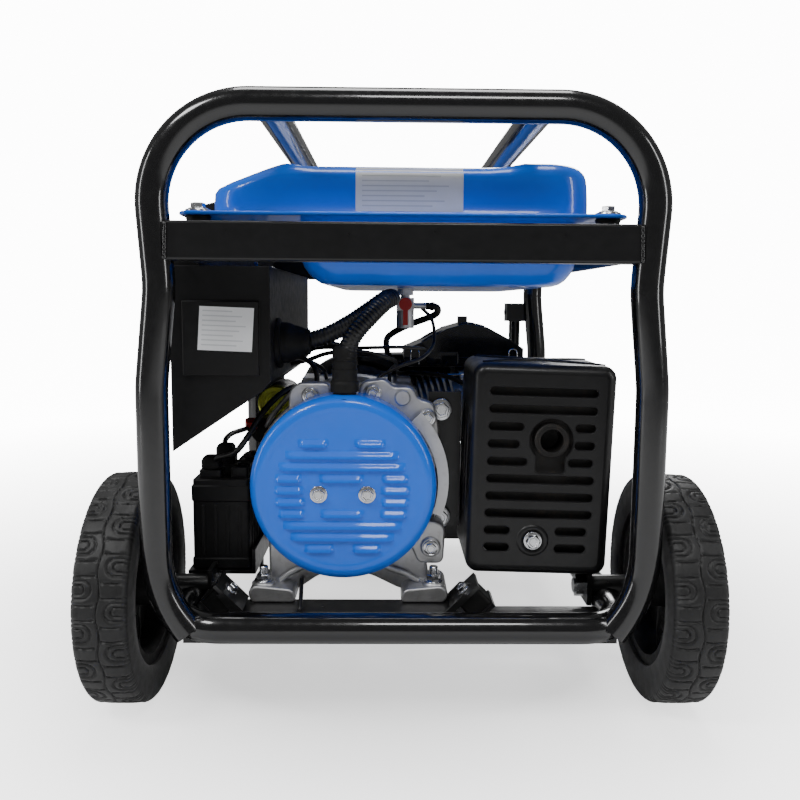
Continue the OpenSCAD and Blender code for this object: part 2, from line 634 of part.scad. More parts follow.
module air_cleaner() color([0.04, 0.04, 0.05]) {
    difference() {
        along_y(66, 186) cleaner_section(0);
        along_y(69, 183) cleaner_section(3);
    }
    block([90, 104, 414], [104, 122, 426]);
}
module carburettor() color([0.55, 0.55, 0.57]) {
    block([84, 166, 318], [122, 189, 351]);
    y_rod(16, 164.5, 166, 103, 330);
    z_rod(12, 302, 318, 103, 177);
}
module choke_lever() color([0.1, 0.1, 0.1]) translate([122 + clear, 177, 338]) {
    rotate([0, 90, 0]) cylinder(r = 5, h = 4);
    block([0, -3, 0], [3, 3, 13]);
    block([0, -6, 8], [20, -2, 13]);
}
module starter_motor() color([0.55, 0.58, 0.12]) {
    y_rod(26, 62, 68, -180, 298);
    y_rod(25, 68, 180, -180, 298);
    y_rod(8, 56, 62, -180, 298);
}
module starter_relay() color([0.06, 0.06, 0.06]) {
    y_rod(17, 0, 44, -190, 266);
    block([-196, 8, 248], [-184, 36, 252]);
    for (x = [-201, -184]) y_rod(4, -8, 0, x, 273);
    block([-186, 18, 258], [-163, 30, 274]);
}

// ---- control panel ----

module panel_section(t) {
    polygon([[panel_out + t, 285 + t], [-150 - t, 350 + t], [panel_in - t, 362 + t],
             [panel_in - t, 483 - t], [panel_out + t, 483 - t]]);
}
module panel_box() color([0.05, 0.05, 0.052]) difference() {
    union() {
        along_y(panel_y[0], panel_y[1]) panel_section(0);
        block([-232, panel_y[0] - 5, 368], [-152, panel_y[0] + 1, 446]);
        along_y(-150, panel_y[1]) polygon([[panel_out, 480], [panel_out + 4, 480], [panel_out + 4, 545],
                                           [-206, 556], [-206, 566], [panel_out, 556]]);
    }
    along_y(panel_y[0] + 3, panel_y[1] - 3) panel_section(3);
    block([panel_out - 1, -252, 312], [panel_out + 5, 132, 468]);
    x_rod(17, panel_in - 6, panel_in + 2, -215, 400);
}
module panel_face() color([0.1, 0.1, 0.11])
    difference() {
        block([panel_out - 2, -252 + clear, 312 + clear], [panel_out + 2, 132 - clear, 468 - clear]);
        for (y = [-190, -120, -50]) x_rod(21, panel_out - 3, panel_out + 3, y, 370);
        x_rod(12, panel_out - 3, panel_out + 3, 70, 370);
        for (y = [10, 40]) x_rod(8.3, panel_out - 3, panel_out + 3, y, 440);
        block([panel_out - 3, -10, 352], [panel_out + 3, 12, 388]);
        x_rod(27, panel_out - 3, panel_out + 3, -155, 434);
    }
// Three round sockets with contact holes, and the round voltmeter
module outlets() color([0.08, 0.09, 0.1]) {
    for (y = [-190, -120, -50]) difference() {
        x_rod(21 - clear, panel_out - 4, panel_out + 26, y, 370);
        x_rod(17, panel_out - 5, panel_out + 8, y, 370);
        for (a = [90, 210, 330]) x_rod(2.4, panel_out, panel_out + 22, y + 9 * cos(a), 370 + 9 * sin(a));
    }
    x_rod(27 - clear, panel_out - 4, panel_out + 18, -155, 434);
}
module breaker_switch() color([0.5, 0.05, 0.04]) translate([panel_out, 1, 370]) difference() {
    rotate([90, 0, 0]) cylinder(r = 15, h = 18, center = true);
    translate([2, -20, -20]) cube([30, 40, 40]);
    translate([-48, -20, -20]) cube([40, 40, 40]);
}
module key_switch() color([0.7, 0.7, 0.72]) translate([panel_out, 70, 370]) rotate([0, -90, 0]) {
    translate([0, 0, -20]) cylinder(r = 12 - 2 * clear, h = 26);
    translate([-14, -1.2, 6]) cube([28, 2.4, 20]);
}

// ---- leads ----

conduit_route = [[-109, -214, 401], [-84, -212, 409], [-58, -206, 423], [-36, -200, 438],
                 [-20, -203, 449], [-12, -217, 451], [-20, -234, 446], [-34, -248, 432],
                 [-50, -258, 414], [-59, -261, 396], [-62, -261, 380], [-62, -261, 362]];
module conduit() color([0.07, 0.07, 0.075]) {
    difference() {
        union() {
            translate([panel_in + 1, -215, 400]) rotate([0, 88, 0]) cylinder(r1 = 23, r2 = 14, h = 33);
            x_rod(28, panel_in, panel_in + 4, -215, 400);
            x_rod(16.5, panel_in - 10, panel_in + 1, -215, 400);
        }
        x_rod(9, panel_in - 11, panel_in - 2, -215, 400);
    }
    hose(spline(conduit_route, 4), 10, ref = [0.3, 1, 0.1]);
    translate([-62, -261, crank_z + cover_r - 2]) cylinder(r1 = 16, r2 = 13, h = 48);
}
module battery() color([0.04, 0.04, 0.042]) {
    a = battery_box[0];
    b = battery_box[1];
    block(a, b);
    for (y = [a[1] + 22, b[1] - 22]) {
        block([a[0] + 8, y - 12, b[2]], [a[0] + 34, y + 12, b[2] + 10]);
        z_rod(5, b[2] + 10, b[2] + 16, a[0] + 21, y);
    }
    block([a[0] + 46, a[1] + 14, b[2]], [b[0] - 6, b[1] - 14, b[2] + 14]);
}
lead_routes = [
    [[-221, -190, 257], [-210, -204, 266], [-188, -222, 276], [-172, -226, 296], [-158, -214, 320],
     [-144, -190, 336], [-132, -140, 342], [-140, -80, 330], [-172, -36, 292], [-184, -6, 273]],
    [[-221, -107, 257], [-224, -96, 268], [-222, -70, 272], [-216, -40, 272], [-201, -6, 273]],
    [[-142, -60, 380], [-110, -58, 390], [-84, -46, 390], [-76, -10, 380], [-78, 60, 362],
     [-82, 130, 350], [-84, 176, 345], [-84, 191.5, 345]]
];
module wiring() color([0.05, 0.05, 0.05])
    for (route = lead_routes) hose(spline(route, 4), 3.5, ref = [0.1, 0.2, 1], sides = 8);

front_hoop();
rear_hoop();
base_loop();
top_rails();
tank_crossbars();
tank_side_rails();
bed_beams();
mount_brackets();
rubber_mounts();
carrier_bars();
axle_sleeves();
axle_bolts();
left_tyre();
left_rim();
right_tyre();
right_rim();
support_leg();
rubber_feet();
handle_brackets();
left_handle();
right_handle();
left_grip();
right_grip();
tank_upper();
tank_lower();
tank_bolts();
tank_grommets();
fuel_cap();
fuel_gauge();
fuel_valve();
fuel_valve_lever();
fuel_line();
stator();
rotor();
end_bracket();
end_cover();
cover_bolts();
crankcase();
cylinder_head();
crankshaft();
flywheel();
fan_shroud();
recoil_cover();
recoil_grip();
muffler_body();
muffler_guard();
muffler_bracket();
air_cleaner();
carburettor();
choke_lever();
starter_motor();
starter_relay();
panel_box();
panel_face();
outlets();
breaker_switch();
key_switch();
conduit();
battery();
wiring();
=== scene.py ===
"""Looks of the open-frame portable generator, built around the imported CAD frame."""
import math
import random

import bmesh
import bpy
from mathutils import Matrix, Vector


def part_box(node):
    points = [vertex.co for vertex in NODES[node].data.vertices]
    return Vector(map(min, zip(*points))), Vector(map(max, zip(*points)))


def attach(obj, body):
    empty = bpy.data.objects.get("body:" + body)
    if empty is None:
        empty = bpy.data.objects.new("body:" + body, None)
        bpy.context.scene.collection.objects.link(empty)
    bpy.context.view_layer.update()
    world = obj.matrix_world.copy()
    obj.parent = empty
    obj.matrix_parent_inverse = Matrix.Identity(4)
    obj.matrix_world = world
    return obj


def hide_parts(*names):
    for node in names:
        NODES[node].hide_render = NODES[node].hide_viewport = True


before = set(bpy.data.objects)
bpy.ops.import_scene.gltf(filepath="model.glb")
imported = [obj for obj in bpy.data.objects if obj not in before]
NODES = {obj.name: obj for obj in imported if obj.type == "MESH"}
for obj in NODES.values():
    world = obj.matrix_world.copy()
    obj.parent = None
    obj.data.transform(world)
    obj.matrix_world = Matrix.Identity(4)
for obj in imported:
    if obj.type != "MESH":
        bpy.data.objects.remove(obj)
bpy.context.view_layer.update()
MM = 0.001
random.seed(7)

# Stations shared with the CAD part, in mm
HOOP_Y, TOP_Z, TUBE = 328.0, 634.0, 16.0
CX, CZ = -63.0, 247.0                       # crankshaft axis
CYLINDER_Y = 105
WHEEL_X, AXLE_Y, WHEEL_R = 300, -238, 127
LEFT, RIGHT = (-1, 0, 0), (1, 0, 0)
FRONT, BACK = (0, -1, 0), (0, 1, 0)
UP = (0, 0, 1)
OPEN = (False, False)                       # a skin with neither end closed


# ---------------------------------------------------------------- geometry
def cosd(a):
    return math.cos(math.radians(a))


def sind(a):
    return math.sin(math.radians(a))


def place(at, axis=(0, 0, 1), spin=0.0):
    """Matrix that puts local +Z along axis, at a point in mm."""
    turn = Vector(axis).normalized().to_track_quat("Z", "Y").to_matrix().to_4x4()
    return Matrix.Translation(Vector(at)) @ turn @ Matrix.Rotation(math.radians(spin), 4, "Z")


class Geo:
    """Collects vertices (mm) and faces of one piece."""

    def __init__(self):
        self.v, self.f = [], []

    def add(self, verts, faces, m=None):
        n = len(self.v)
        self.v += [(m @ Vector(p)) if m else Vector(p) for p in verts]
        self.f += [tuple(i + n for i in face) for face in faces]
        return self

    def rings(self, rings, closed=False, caps=(True, True), m=None):
        """Skin over rings with the same number of points."""
        k = len(rings[0])
        verts = [p for r in rings for p in r]
        faces = []
        for i in range(len(rings) - (0 if closed else 1)):
            a, b = i * k, ((i + 1) % len(rings)) * k
            faces += [(a + j, a + (j + 1) % k, b + (j + 1) % k, b + j) for j in range(k)]
        if not closed and caps[0]:
            faces.append(tuple(reversed(range(k))))
        if not closed and caps[1]:
            faces.append(tuple(range((len(rings) - 1) * k, len(rings) * k)))
        return self.add(verts, faces, m)

    def lathe(self, profile, at=(0, 0, 0), axis=UP, seg=48, caps=(True, True)):
        """Profile of (radius, height) turned round an axis."""
        rings = [[(r * math.cos(2 * math.pi * i / seg), r * math.sin(2 * math.pi * i / seg), h)
                  for i in range(seg)] for r, h in profile]
        return self.rings(rings, caps=caps, m=place(at, axis))

    def prism(self, outline, z0, z1, m=None):
        return self.rings([[(x, y, z) for x, y in outline] for z in (z0, z1)], m=m)

    def box(self, lo, hi, m=None):
        (x0, y0, z0), (x1, y1, z1) = lo, hi
        return self.prism([(x0, y0), (x1, y0), (x1, y1), (x0, y1)], z0, z1, m)

    def sweep(self, path, radius, sides=20, ref=BACK, closed=False):
        """Round tube along a path. radius is a number or one per point."""
        n = len(path)
        path = [Vector(p) for p in path]
        ref = Vector(ref)
        rings = []
        for i, p in enumerate(path):
            if closed:
                t = path[(i + 1) % n] - path[i - 1]
            else:
                t = path[min(i + 1, n - 1)] - path[max(i - 1, 0)]
            t.normalize()
            u = ref.cross(t).normalized()
            w = t.cross(u)
            r = radius[i] if isinstance(radius, list) else radius
            rings.append([p + r * (u * math.cos(2 * math.pi * k / sides)
                                   + w * math.sin(2 * math.pi * k / sides)) for k in range(sides)])
        return self.rings(rings, closed=closed)

    def bolt(self, at, axis, r=7.0, head=5.0, flange=True, spin=15.0):
        """Flanged hex head with a chamfered top and a shallow dish."""
        m = place(at, axis, spin)

        def hexa(s, z):
            return [(s * math.cos(math.pi / 3 * i), s * math.sin(math.pi / 3 * i), z) for i in range(6)]
        base = 0.0
        if flange:
            self.lathe([(r * 1.32, 0), (r * 1.35, 0.6), (r * 1.28, 1.3), (r * 0.95, 1.9)], at, axis, 32)
            base = 1.2
        self.rings([hexa(r, base), hexa(r, base + head - 0.8), hexa(r * 0.93, base + head - 0.2),
                    hexa(r * 0.78, base + head), hexa(r * 0.66, base + head),
                    hexa(r * 0.6, base + head - 0.5)],
                   m=m)
        return self


def finish_piece(geo, name, mat, body="frame", replaces=(), sharp=32, bevel=0.0, seg=2,
                 smooth=True):
    """Make the mesh object of one piece, with its material, shading, body and replaced nodes."""
    mesh = bpy.data.meshes.new(name)
    mesh.from_pydata([tuple(v * MM) for v in geo.v], [], geo.f)
    mesh.validate()
    mesh.update()
    o = bpy.data.objects.new(name, mesh)
    bpy.context.scene.collection.objects.link(o)
    mesh.materials.append(mat)
    recalc(mesh)
    if smooth:
        mesh.shade_smooth()
        if sharp:
            mesh.set_sharp_from_angle(angle=math.radians(sharp))
    if bevel:
        b = o.modifiers.new("edges", "BEVEL")
        b.width, b.segments, b.limit_method, b.angle_limit = bevel * MM, seg, "ANGLE", math.radians(34)
        b.harden_normals = True
    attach(o, body)
    if replaces:
        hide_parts(*replaces)
    return o


def recalc(mesh):
    """Point every face outward."""
    bm = bmesh.new()
    bm.from_mesh(mesh)
    bmesh.ops.recalc_face_normals(bm, faces=bm.faces)
    bm.to_mesh(mesh)
    bm.free()


def arc(cx, cy, r, a0, a1, n):
    """Points of an arc from a0 to a1 degrees."""
    return [(cx + r * math.cos(math.radians(a0 + (a1 - a0) * i / n)),
             cy + r * math.sin(math.radians(a0 + (a1 - a0) * i / n))) for i in range(n + 1)]


def round_rect(x0, x1, y0, y1, r, n=6):
    """Outline of a rectangle with round corners."""
    return (arc(x1 - r, y1 - r, r, 0, 90, n) + arc(x0 + r, y1 - r, r, 90, 180, n)
            + arc(x0 + r, y0 + r, r, 180, 270, n) + arc(x1 - r, y0 + r, r, 270, 360, n))


def capsule(x0, x1, y, h, n=8):
    """Outline of a slot with round ends."""
    r = h / 2
    return arc(x1 - r, y, r, -90, 90, n) + arc(x0 + r, y, r, 90, 270, n)


def spline(pts, steps=12):
    """Smooth curve through the points."""
    pts = [Vector(p) for p in pts]
    out = []
    for i in range(len(pts) - 1):
        a, b, c, d = pts[max(i - 1, 0)], pts[i], pts[i + 1], pts[min(i + 2, len(pts) - 1)]
        for k in range(steps):
            t = k / steps
            out.append(0.5 * (2 * b + (c - a) * t + (2 * a - 5 * b + 4 * c - d) * t * t
                              + (3 * b - a - 3 * c + d) * t ** 3))
    return out + [pts[-1]]


def resample(path, step):
    """The same path with points a fixed step apart."""
    path = [Vector(p) for p in path]
    out, left = [path[0]], step
    for a, b in zip(path, path[1:]):
        seg = (b - a).length
        pos = 0.0
        while seg - pos >= left:
            pos += left
            out.append(a.lerp(b, pos / seg))
            left = step
        left -= seg - pos
    return out


def plate(outline, holes, thick, bevel, m):
    """Flat plate with holes and rounded edges, from a filled 2D curve. Returns (verts, faces) in mm."""
    cu = bpy.data.curves.new("plate", "CURVE")
    cu.dimensions, cu.fill_mode = "2D", "BOTH"
    cu.extrude, cu.bevel_depth, cu.bevel_resolution = thick / 2 - bevel, bevel, 2
    for loop in [outline] + holes:
        sp = cu.splines.new("POLY")
        sp.points.add(len(loop) - 1)
        for i, (x, y) in enumerate(loop):
            sp.points[i].co = (x, y, 0, 1)
        sp.use_cyclic_u = True
    ob = bpy.data.objects.new("plate", cu)
    bpy.context.scene.collection.objects.link(ob)
    dg = bpy.context.evaluated_depsgraph_get()
    me = bpy.data.meshes.new_from_object(ob.evaluated_get(dg))
    verts = [m @ v.co for v in me.vertices]
    faces = [tuple(p.vertices) for p in me.polygons]
    bpy.data.objects.remove(ob)
    bpy.data.curves.remove(cu)
    bpy.data.meshes.remove(me)
    return verts, faces


# ---------------------------------------------------------------- materials
def material(name, color, rough=0.4, metal=0.0, var=0.15, patch=35.0, rough_var=0.12, grain=900.0,
             bump=0.1, depth=0.15, coat=0.0, coat_rough=0.06, spec=0.5, dust=0.0,
             dust_color=(0.35, 0.34, 0.32),
             edge=0.0, edge_color=(0.3, 0.3, 0.3), stretch=(1, 1, 1), second=None, sheen=0.0):
    """Procedural surface: patchy colour and roughness, bump, optional dust, edge wear, second tone."""
    m = bpy.data.materials.new(name)
    m.use_nodes = True
    nt = m.node_tree
    nt.nodes.clear()
    N, L = nt.nodes.new, nt.links.new
    out, bsdf = N("ShaderNodeOutputMaterial"), N("ShaderNodeBsdfPrincipled")
    L(bsdf.outputs[0], out.inputs[0])
    co, mp = N("ShaderNodeTexCoord"), N("ShaderNodeMapping")
    mp.inputs["Scale"].default_value = stretch
    L(co.outputs["Object"], mp.inputs[0])

    def noise(scale, detail=4.0, rough=0.6):
        n = N("ShaderNodeTexNoise")
        n.inputs["Scale"].default_value = scale
        n.inputs["Detail"].default_value = detail
        n.inputs["Roughness"].default_value = rough
        L(mp.outputs[0], n.inputs["Vector"])
        return n.outputs["Fac"]

    def ramp(src, lo, hi, a=0.0, b=1.0):
        r = N("ShaderNodeMapRange")
        r.inputs["From Min"].default_value, r.inputs["From Max"].default_value = lo, hi
        r.inputs["To Min"].default_value, r.inputs["To Max"].default_value = a, b
        L(src, r.inputs["Value"])
        return r.outputs[0]

    def mix(fac, a, b, kind="MIX"):
        x = N("ShaderNodeMix")
        x.data_type, x.blend_type = "RGBA", kind
        for sock, val in ((x.inputs["Factor"], fac), (x.inputs[6], a), (x.inputs[7], b)):
            if hasattr(val, "is_linked"):
                L(val, sock)
            elif isinstance(val, (int, float)):
                sock.default_value = val
            else:
                sock.default_value = (*val, 1)
        return x.outputs[2]

    base = mix(ramp(noise(patch), 0.3, 0.7), tuple(c * (1 - var) for c in color),
               tuple(min(1, c * (1 + var)) for c in color))
    if second:
        base = mix(ramp(noise(patch * 2.7, 6), 0.52, 0.7, 0, second[1]), base, second[0])
    rsock = ramp(noise(patch * 3.1, 5), 0.3, 0.7, max(0.02, rough - rough_var / 2),
                 min(1, rough + rough_var / 2))
    if dust:
        geo = N("ShaderNodeNewGeometry")
        sep = N("ShaderNodeSeparateXYZ")
        L(geo.outputs["Normal"], sep.inputs[0])
        up = ramp(sep.outputs["Z"], 0.2, 1.0, 0, dust)
        mul = N("ShaderNodeMath")
        mul.operation = "MULTIPLY"
        L(up, mul.inputs[0])
        L(ramp(noise(patch * 5, 8, 0.7), 0.35, 0.75), mul.inputs[1])
        base = mix(mul.outputs[0], base, dust_color)
    if edge:
        bends = N("ShaderNodeNewGeometry")
        base = mix(ramp(bends.outputs["Pointiness"], 0.53, 0.6, 0, edge), base, edge_color)
    L(base, bsdf.inputs["Base Color"])
    L(rsock, bsdf.inputs["Roughness"])
    bsdf.inputs["Metallic"].default_value = metal
    bsdf.inputs["Specular IOR Level"].default_value = spec
    bsdf.inputs["Coat Weight"].default_value = coat
    bsdf.inputs["Coat Roughness"].default_value = coat_rough
    bsdf.inputs["Sheen Weight"].default_value = sheen
    b = N("ShaderNodeBump")
    b.inputs["Strength"].default_value = bump
    b.inputs["Distance"].default_value = depth * MM
    L(noise(grain, 3), b.inputs["Height"])
    L(b.outputs[0], bsdf.inputs["Normal"])
    return m


M = {
    "tube": material("tube_gloss_black", (0.003, 0.003, 0.0035), 0.2, coat=0.8, coat_rough=0.05, var=0.3,
                     grain=160, bump=0.12, depth=0.25, edge=0.2, edge_color=(0.03, 0.03, 0.033)),
    "frame": material("frame_satin_black", (0.004, 0.004, 0.0045), 0.33, coat=0.4, coat_rough=0.2, var=0.3,
                      spec=0.35, grain=420, bump=0.2, depth=0.2, dust=0.03, edge=0.25,
                      edge_color=(0.03, 0.03, 0.03)),
    "blue": material("azure_gloss_paint", (0.0, 0.17, 0.95), 0.34, coat=0.6, coat_rough=0.04, var=0.05,
                     spec=0.3, grain=140, bump=0.1, depth=0.25, patch=12),
    "cast": material("cast_aluminium", (0.6, 0.6, 0.6), 0.42, metal=0.85, var=0.12, grain=700, bump=0.55,
                     depth=0.3, patch=28, edge=0.3, edge_color=(0.85, 0.85, 0.86),
                     second=((0.36, 0.35, 0.34), 0.45)),
    "zinc": material("zinc_bolt", (0.72, 0.73, 0.75), 0.22, metal=1.0, var=0.08, grain=900, bump=0.12,
                     depth=0.1, patch=120),
    "yellow": material("yellow_zinc", (0.42, 0.46, 0.05), 0.34, metal=0.6, var=0.15, grain=700, bump=0.2,
                       depth=0.1, patch=60, second=((0.5, 0.38, 0.08), 0.3)),
    "guard": material("guard_stamped_black", (0.004, 0.004, 0.0045), 0.38, coat=0.25, coat_rough=0.25,
                      var=0.3,
                      spec=0.35, grain=520, bump=0.28, depth=0.2, dust=0.03, edge=0.3,
                      edge_color=(0.035, 0.035, 0.038)),
    "heat": material("heat_black_steel", (0.012, 0.011, 0.0105), 0.55, metal=0.3, var=0.3, grain=380,
                     bump=0.3,
                     depth=0.3, second=((0.06, 0.04, 0.025), 0.3)),
    "plastic": material("grained_black_plastic", (0.004, 0.004, 0.0045), 0.45, var=0.2, spec=0.3, grain=1500,
                        bump=0.45, depth=0.12, dust=0.03, edge=0.2, edge_color=(0.03, 0.03, 0.03)),
    "shroud": material("glossy_black_shroud", (0.003, 0.004, 0.007), 0.16, coat=0.7, coat_rough=0.07,
                       var=0.25,
                       grain=260, bump=0.1, depth=0.15, dust=0.02),
    "wheel": material("wheel_plastic", (0.005, 0.005, 0.0052), 0.5, var=0.2, spec=0.35, grain=1200, bump=0.4,
                      depth=0.12, dust=0.03),
    "tyre": material("tyre_black", (0.008, 0.008, 0.0083), 0.5, var=0.25, grain=1100, bump=0.5, depth=0.15,
                     patch=40, dust=0.05, edge=0.55, edge_color=(0.06, 0.06, 0.062), sheen=0.1),
    "rubber": material("matt_rubber", (0.005, 0.005, 0.005), 0.6, var=0.2, spec=0.3, grain=1300, bump=0.5,
                       depth=0.15, dust=0.03),
    "hose": material("corrugated_black", (0.006, 0.006, 0.0065), 0.36, var=0.25, grain=900, bump=0.2,
                     depth=0.1, edge=0.4, edge_color=(0.05, 0.05, 0.053)),
    "steel": material("lamination_steel", (0.2, 0.205, 0.215), 0.38, metal=0.9, var=0.2, grain=60, bump=0.35,
                      depth=0.3, stretch=(0.3, 30, 0.3), second=((0.12, 0.08, 0.05), 0.3)),
    "iron": material("grey_iron", (0.2, 0.2, 0.205), 0.5, metal=0.7, var=0.2, grain=500, bump=0.4, depth=0.3),
    "copper": material("varnished_copper", (0.5, 0.2, 0.08), 0.32, metal=0.9, var=0.25, grain=60, bump=0.4,
                       depth=0.4, stretch=(20, 2, 20)),
    "red": material("red_moulding", (0.55, 0.012, 0.01), 0.35, var=0.15, grain=900, bump=0.2, depth=0.1),
    "gauge": material("gauge_white", (0.8, 0.8, 0.78), 0.2, coat=1.0, coat_rough=0.02, var=0.03, grain=500,
                      bump=0.05, depth=0.05),
    # near black: painted shade in the louvre slots of the end cover, and the voltmeter's printed marks and needle
    "dark": material("painted_slot_shade_and_black_print", (0.002, 0.002, 0.0022), 0.8, var=0.4, grain=700, bump=0.2, depth=0.1),
}


def label_material():
    """Blank white label with faint grey ruled lines and no lettering."""
    m = material("blank_label", (0.82, 0.83, 0.85), 0.42, var=0.03, grain=600, bump=0.06, depth=0.05,
                 patch=60,
                 coat=0.3, coat_rough=0.2)
    nt = m.node_tree
    N, L = nt.nodes.new, nt.links.new
    bsdf = next(n for n in nt.nodes if n.type == "BSDF_PRINCIPLED")
    old = bsdf.inputs["Base Color"].links[0].from_socket
    uv, sep = N("ShaderNodeUVMap"), N("ShaderNodeSeparateXYZ")
    uv.uv_map = "UVMap"
    L(uv.outputs[0], sep.inputs[0])

    def math_node(op, a, b=None, c=None):
        x = N("ShaderNodeMath")
        x.operation = op
        for i, val in enumerate((a, b, c)):
            if val is None:
                continue
            if hasattr(val, "is_linked"):
                L(val, x.inputs[i])
            else:
                x.inputs[i].default_value = val
        return x.outputs[0]
    v = math_node("MULTIPLY", sep.outputs["Y"], 9.0)
    line = math_node("LESS_THAN", math_node("FRACT", v), 0.26)
    row = math_node("FLOOR", v)
    end = math_node("ADD", math_node("MULTIPLY", math_node("FRACT", math_node("MULTIPLY", row, 0.377)),
                                     0.3), 0.6)
    inside = math_node("MULTIPLY", math_node("GREATER_THAN", sep.outputs["X"], 0.06),
                       math_node("LESS_THAN", sep.outputs["X"], end))
    rows = math_node("MULTIPLY", math_node("GREATER_THAN", sep.outputs["Y"], 0.08),
                     math_node("LESS_THAN", sep.outputs["Y"], 0.95))
    fac = math_node("MULTIPLY", math_node("MULTIPLY", line, inside), math_node("MULTIPLY", rows, 0.45))
    mx = N("ShaderNodeMix")
    mx.data_type = "RGBA"
    L(fac, mx.inputs["Factor"])
    L(old, mx.inputs[6])
    mx.inputs[7].default_value = (0.3, 0.32, 0.36, 1)
    L(mx.outputs[2], bsdf.inputs["Base Color"])
    return m


M["label"] = label_material()


# ---------------------------------------------------------------- frame tubes
# straight length, then the bend's radius and angle, from the middle of the top bar down one side
BENDS = [(150, 95, 94), (60, 150, -10), (75, 200, 6), (161, 120, 38), (10, 0, 0)]


def half_hoop():
    """Centre line of half a hoop as (x, z), from the middle of the top bar."""
    x, z, head, out = 0.0, TOP_Z, 0.0, [(0.0, TOP_Z)]
    for length, radius, angle in BENDS:
        steps = max(1, int(length / 25))
        for _ in range(steps):
            x += cosd(head) * length / steps
            z -= sind(head) * length / steps
            out.append((x, z))
        steps = max(1, int(abs(angle) / 3))
        d = angle / steps
        for _ in range(steps if angle else 0):
            chord = 2 * radius * math.sin(math.radians(abs(d) / 2))
            mid = math.radians(head + d / 2)
            x += math.cos(mid) * chord
            z -= math.sin(mid) * chord
            head += d
            out.append((x, z))
    return out


def weld_bead(path, r=2.3):
    """Rippled weld bead along a path."""
    path = resample(path, 1.6)
    radii = [r * (1 + 0.18 * math.sin(i * 2.1) + 0.1 * random.uniform(-1, 1)) for i in range(len(path))]
    return path, radii


half = half_hoop()
beads = Geo()
for side, node in ((-1, "front_hoop"), (1, "rear_hoop")):
    y = side * HOOP_Y
    path = [(-x, y, z) for x, z in reversed(half)] + [(x, y, z) for x, z in half[1:]]
    finish_piece(Geo().sweep(path, TUBE, 36), node + "_tube", M["tube"], replaces=(node,),
                 sharp=50)
base = []
for cx, cy, a in ((186, 282, 0), (-186, 282, 90), (-186, -282, 180), (186, -282, 270)):
    base += [(x, y, 112.0) for x, y in arc(cx, cy, 46, a, a + 90, 16)]
finish_piece(Geo().sweep(base, TUBE, 36, ref=UP, closed=True), "base_loop_tube", M["tube"],
             replaces=("base_loop",), sharp=50)
g = Geo()
for x in (-132, 132):
    g.sweep([(x, -326 + 652 * i / 24, TOP_Z) for i in range(25)], TUBE - 0.6, 36, ref=UP)
    for s in (-1, 1):
        for mid in (0, 180):                 # the two sides only: the top stays level with the tubes
            angles = [math.radians(mid + 4.2 * i) for i in range(-12, 13)]
            ring = [(x + 16.2 * math.cos(a), s * (HOOP_Y - 16.4 * abs(math.cos(a)) - 0.3),
                     TOP_Z + 15.6 * math.sin(a)) for a in angles]
            p, r = weld_bead(ring)
            beads.sweep(p, r, 8, ref=(0.01, 1, 0.02))
finish_piece(g, "top_rail_tubes", M["tube"], replaces=("top_rails",), sharp=50)
for s in (-1, 1):
    for t in (-1, 1):
        for y0 in (-12.9, 12.9):
            p, r = weld_bead([(t * 231.0, s * HOOP_Y + y0, 486.0), (t * 229.6, s * HOOP_Y + y0, 522.0)],
                             r=1.9)
            beads.sweep(p, r, 8, ref=(0.02, 1, 0.03))
        p, r = weld_bead([(t * 218.0, s * 318.0, 124.0), (t * 229.0, s * 312.0, 118.0),
                          (t * 233.0, s * 310.0, 108.0),
                          (t * 230.0, s * 311.0, 99.0)], r=2.2)
        beads.sweep(p, r, 8, ref=(0.02, 0.1, 1))
finish_piece(beads, "weld_beads", M["tube"], sharp=0)


# ---------------------------------------------------------------- wheels
def tread_depth(s, t):
    """Groove depth in mm at s along the circumference and t across the tread."""
    pitch = 2 * math.pi * WHEEL_R / 18
    ph = (s + (0 if t >= 0 else pitch / 2)) % pitch
    a = abs(t)
    centre = 1.6 * math.sin(2 * math.pi * s / pitch)
    d = abs(t - centre) - 0.35
    if a > 3:
        for line in (0.0, 0.34 * pitch, pitch):
            bend = 1.5 * math.sin(a / 28 * math.pi)
            d = min(d, abs(ph - line - bend) - 0.6)
        cs, w = 0.67 * pitch, 9.2
        ds, da = ph - cs, a
        q = abs(ds) if da > 16 else math.hypot(ds, 16 - da)
        d = min(d, abs(q - w) - 0.8)
        if da > 13:
            q2 = abs(ds) if da > 18 else math.hypot(ds, 18 - da)
            d = min(d, abs(q2 - 4.6) - 0.5)
    return 1.7 * min(1.0, max(0.0, 1 - d / 0.9))


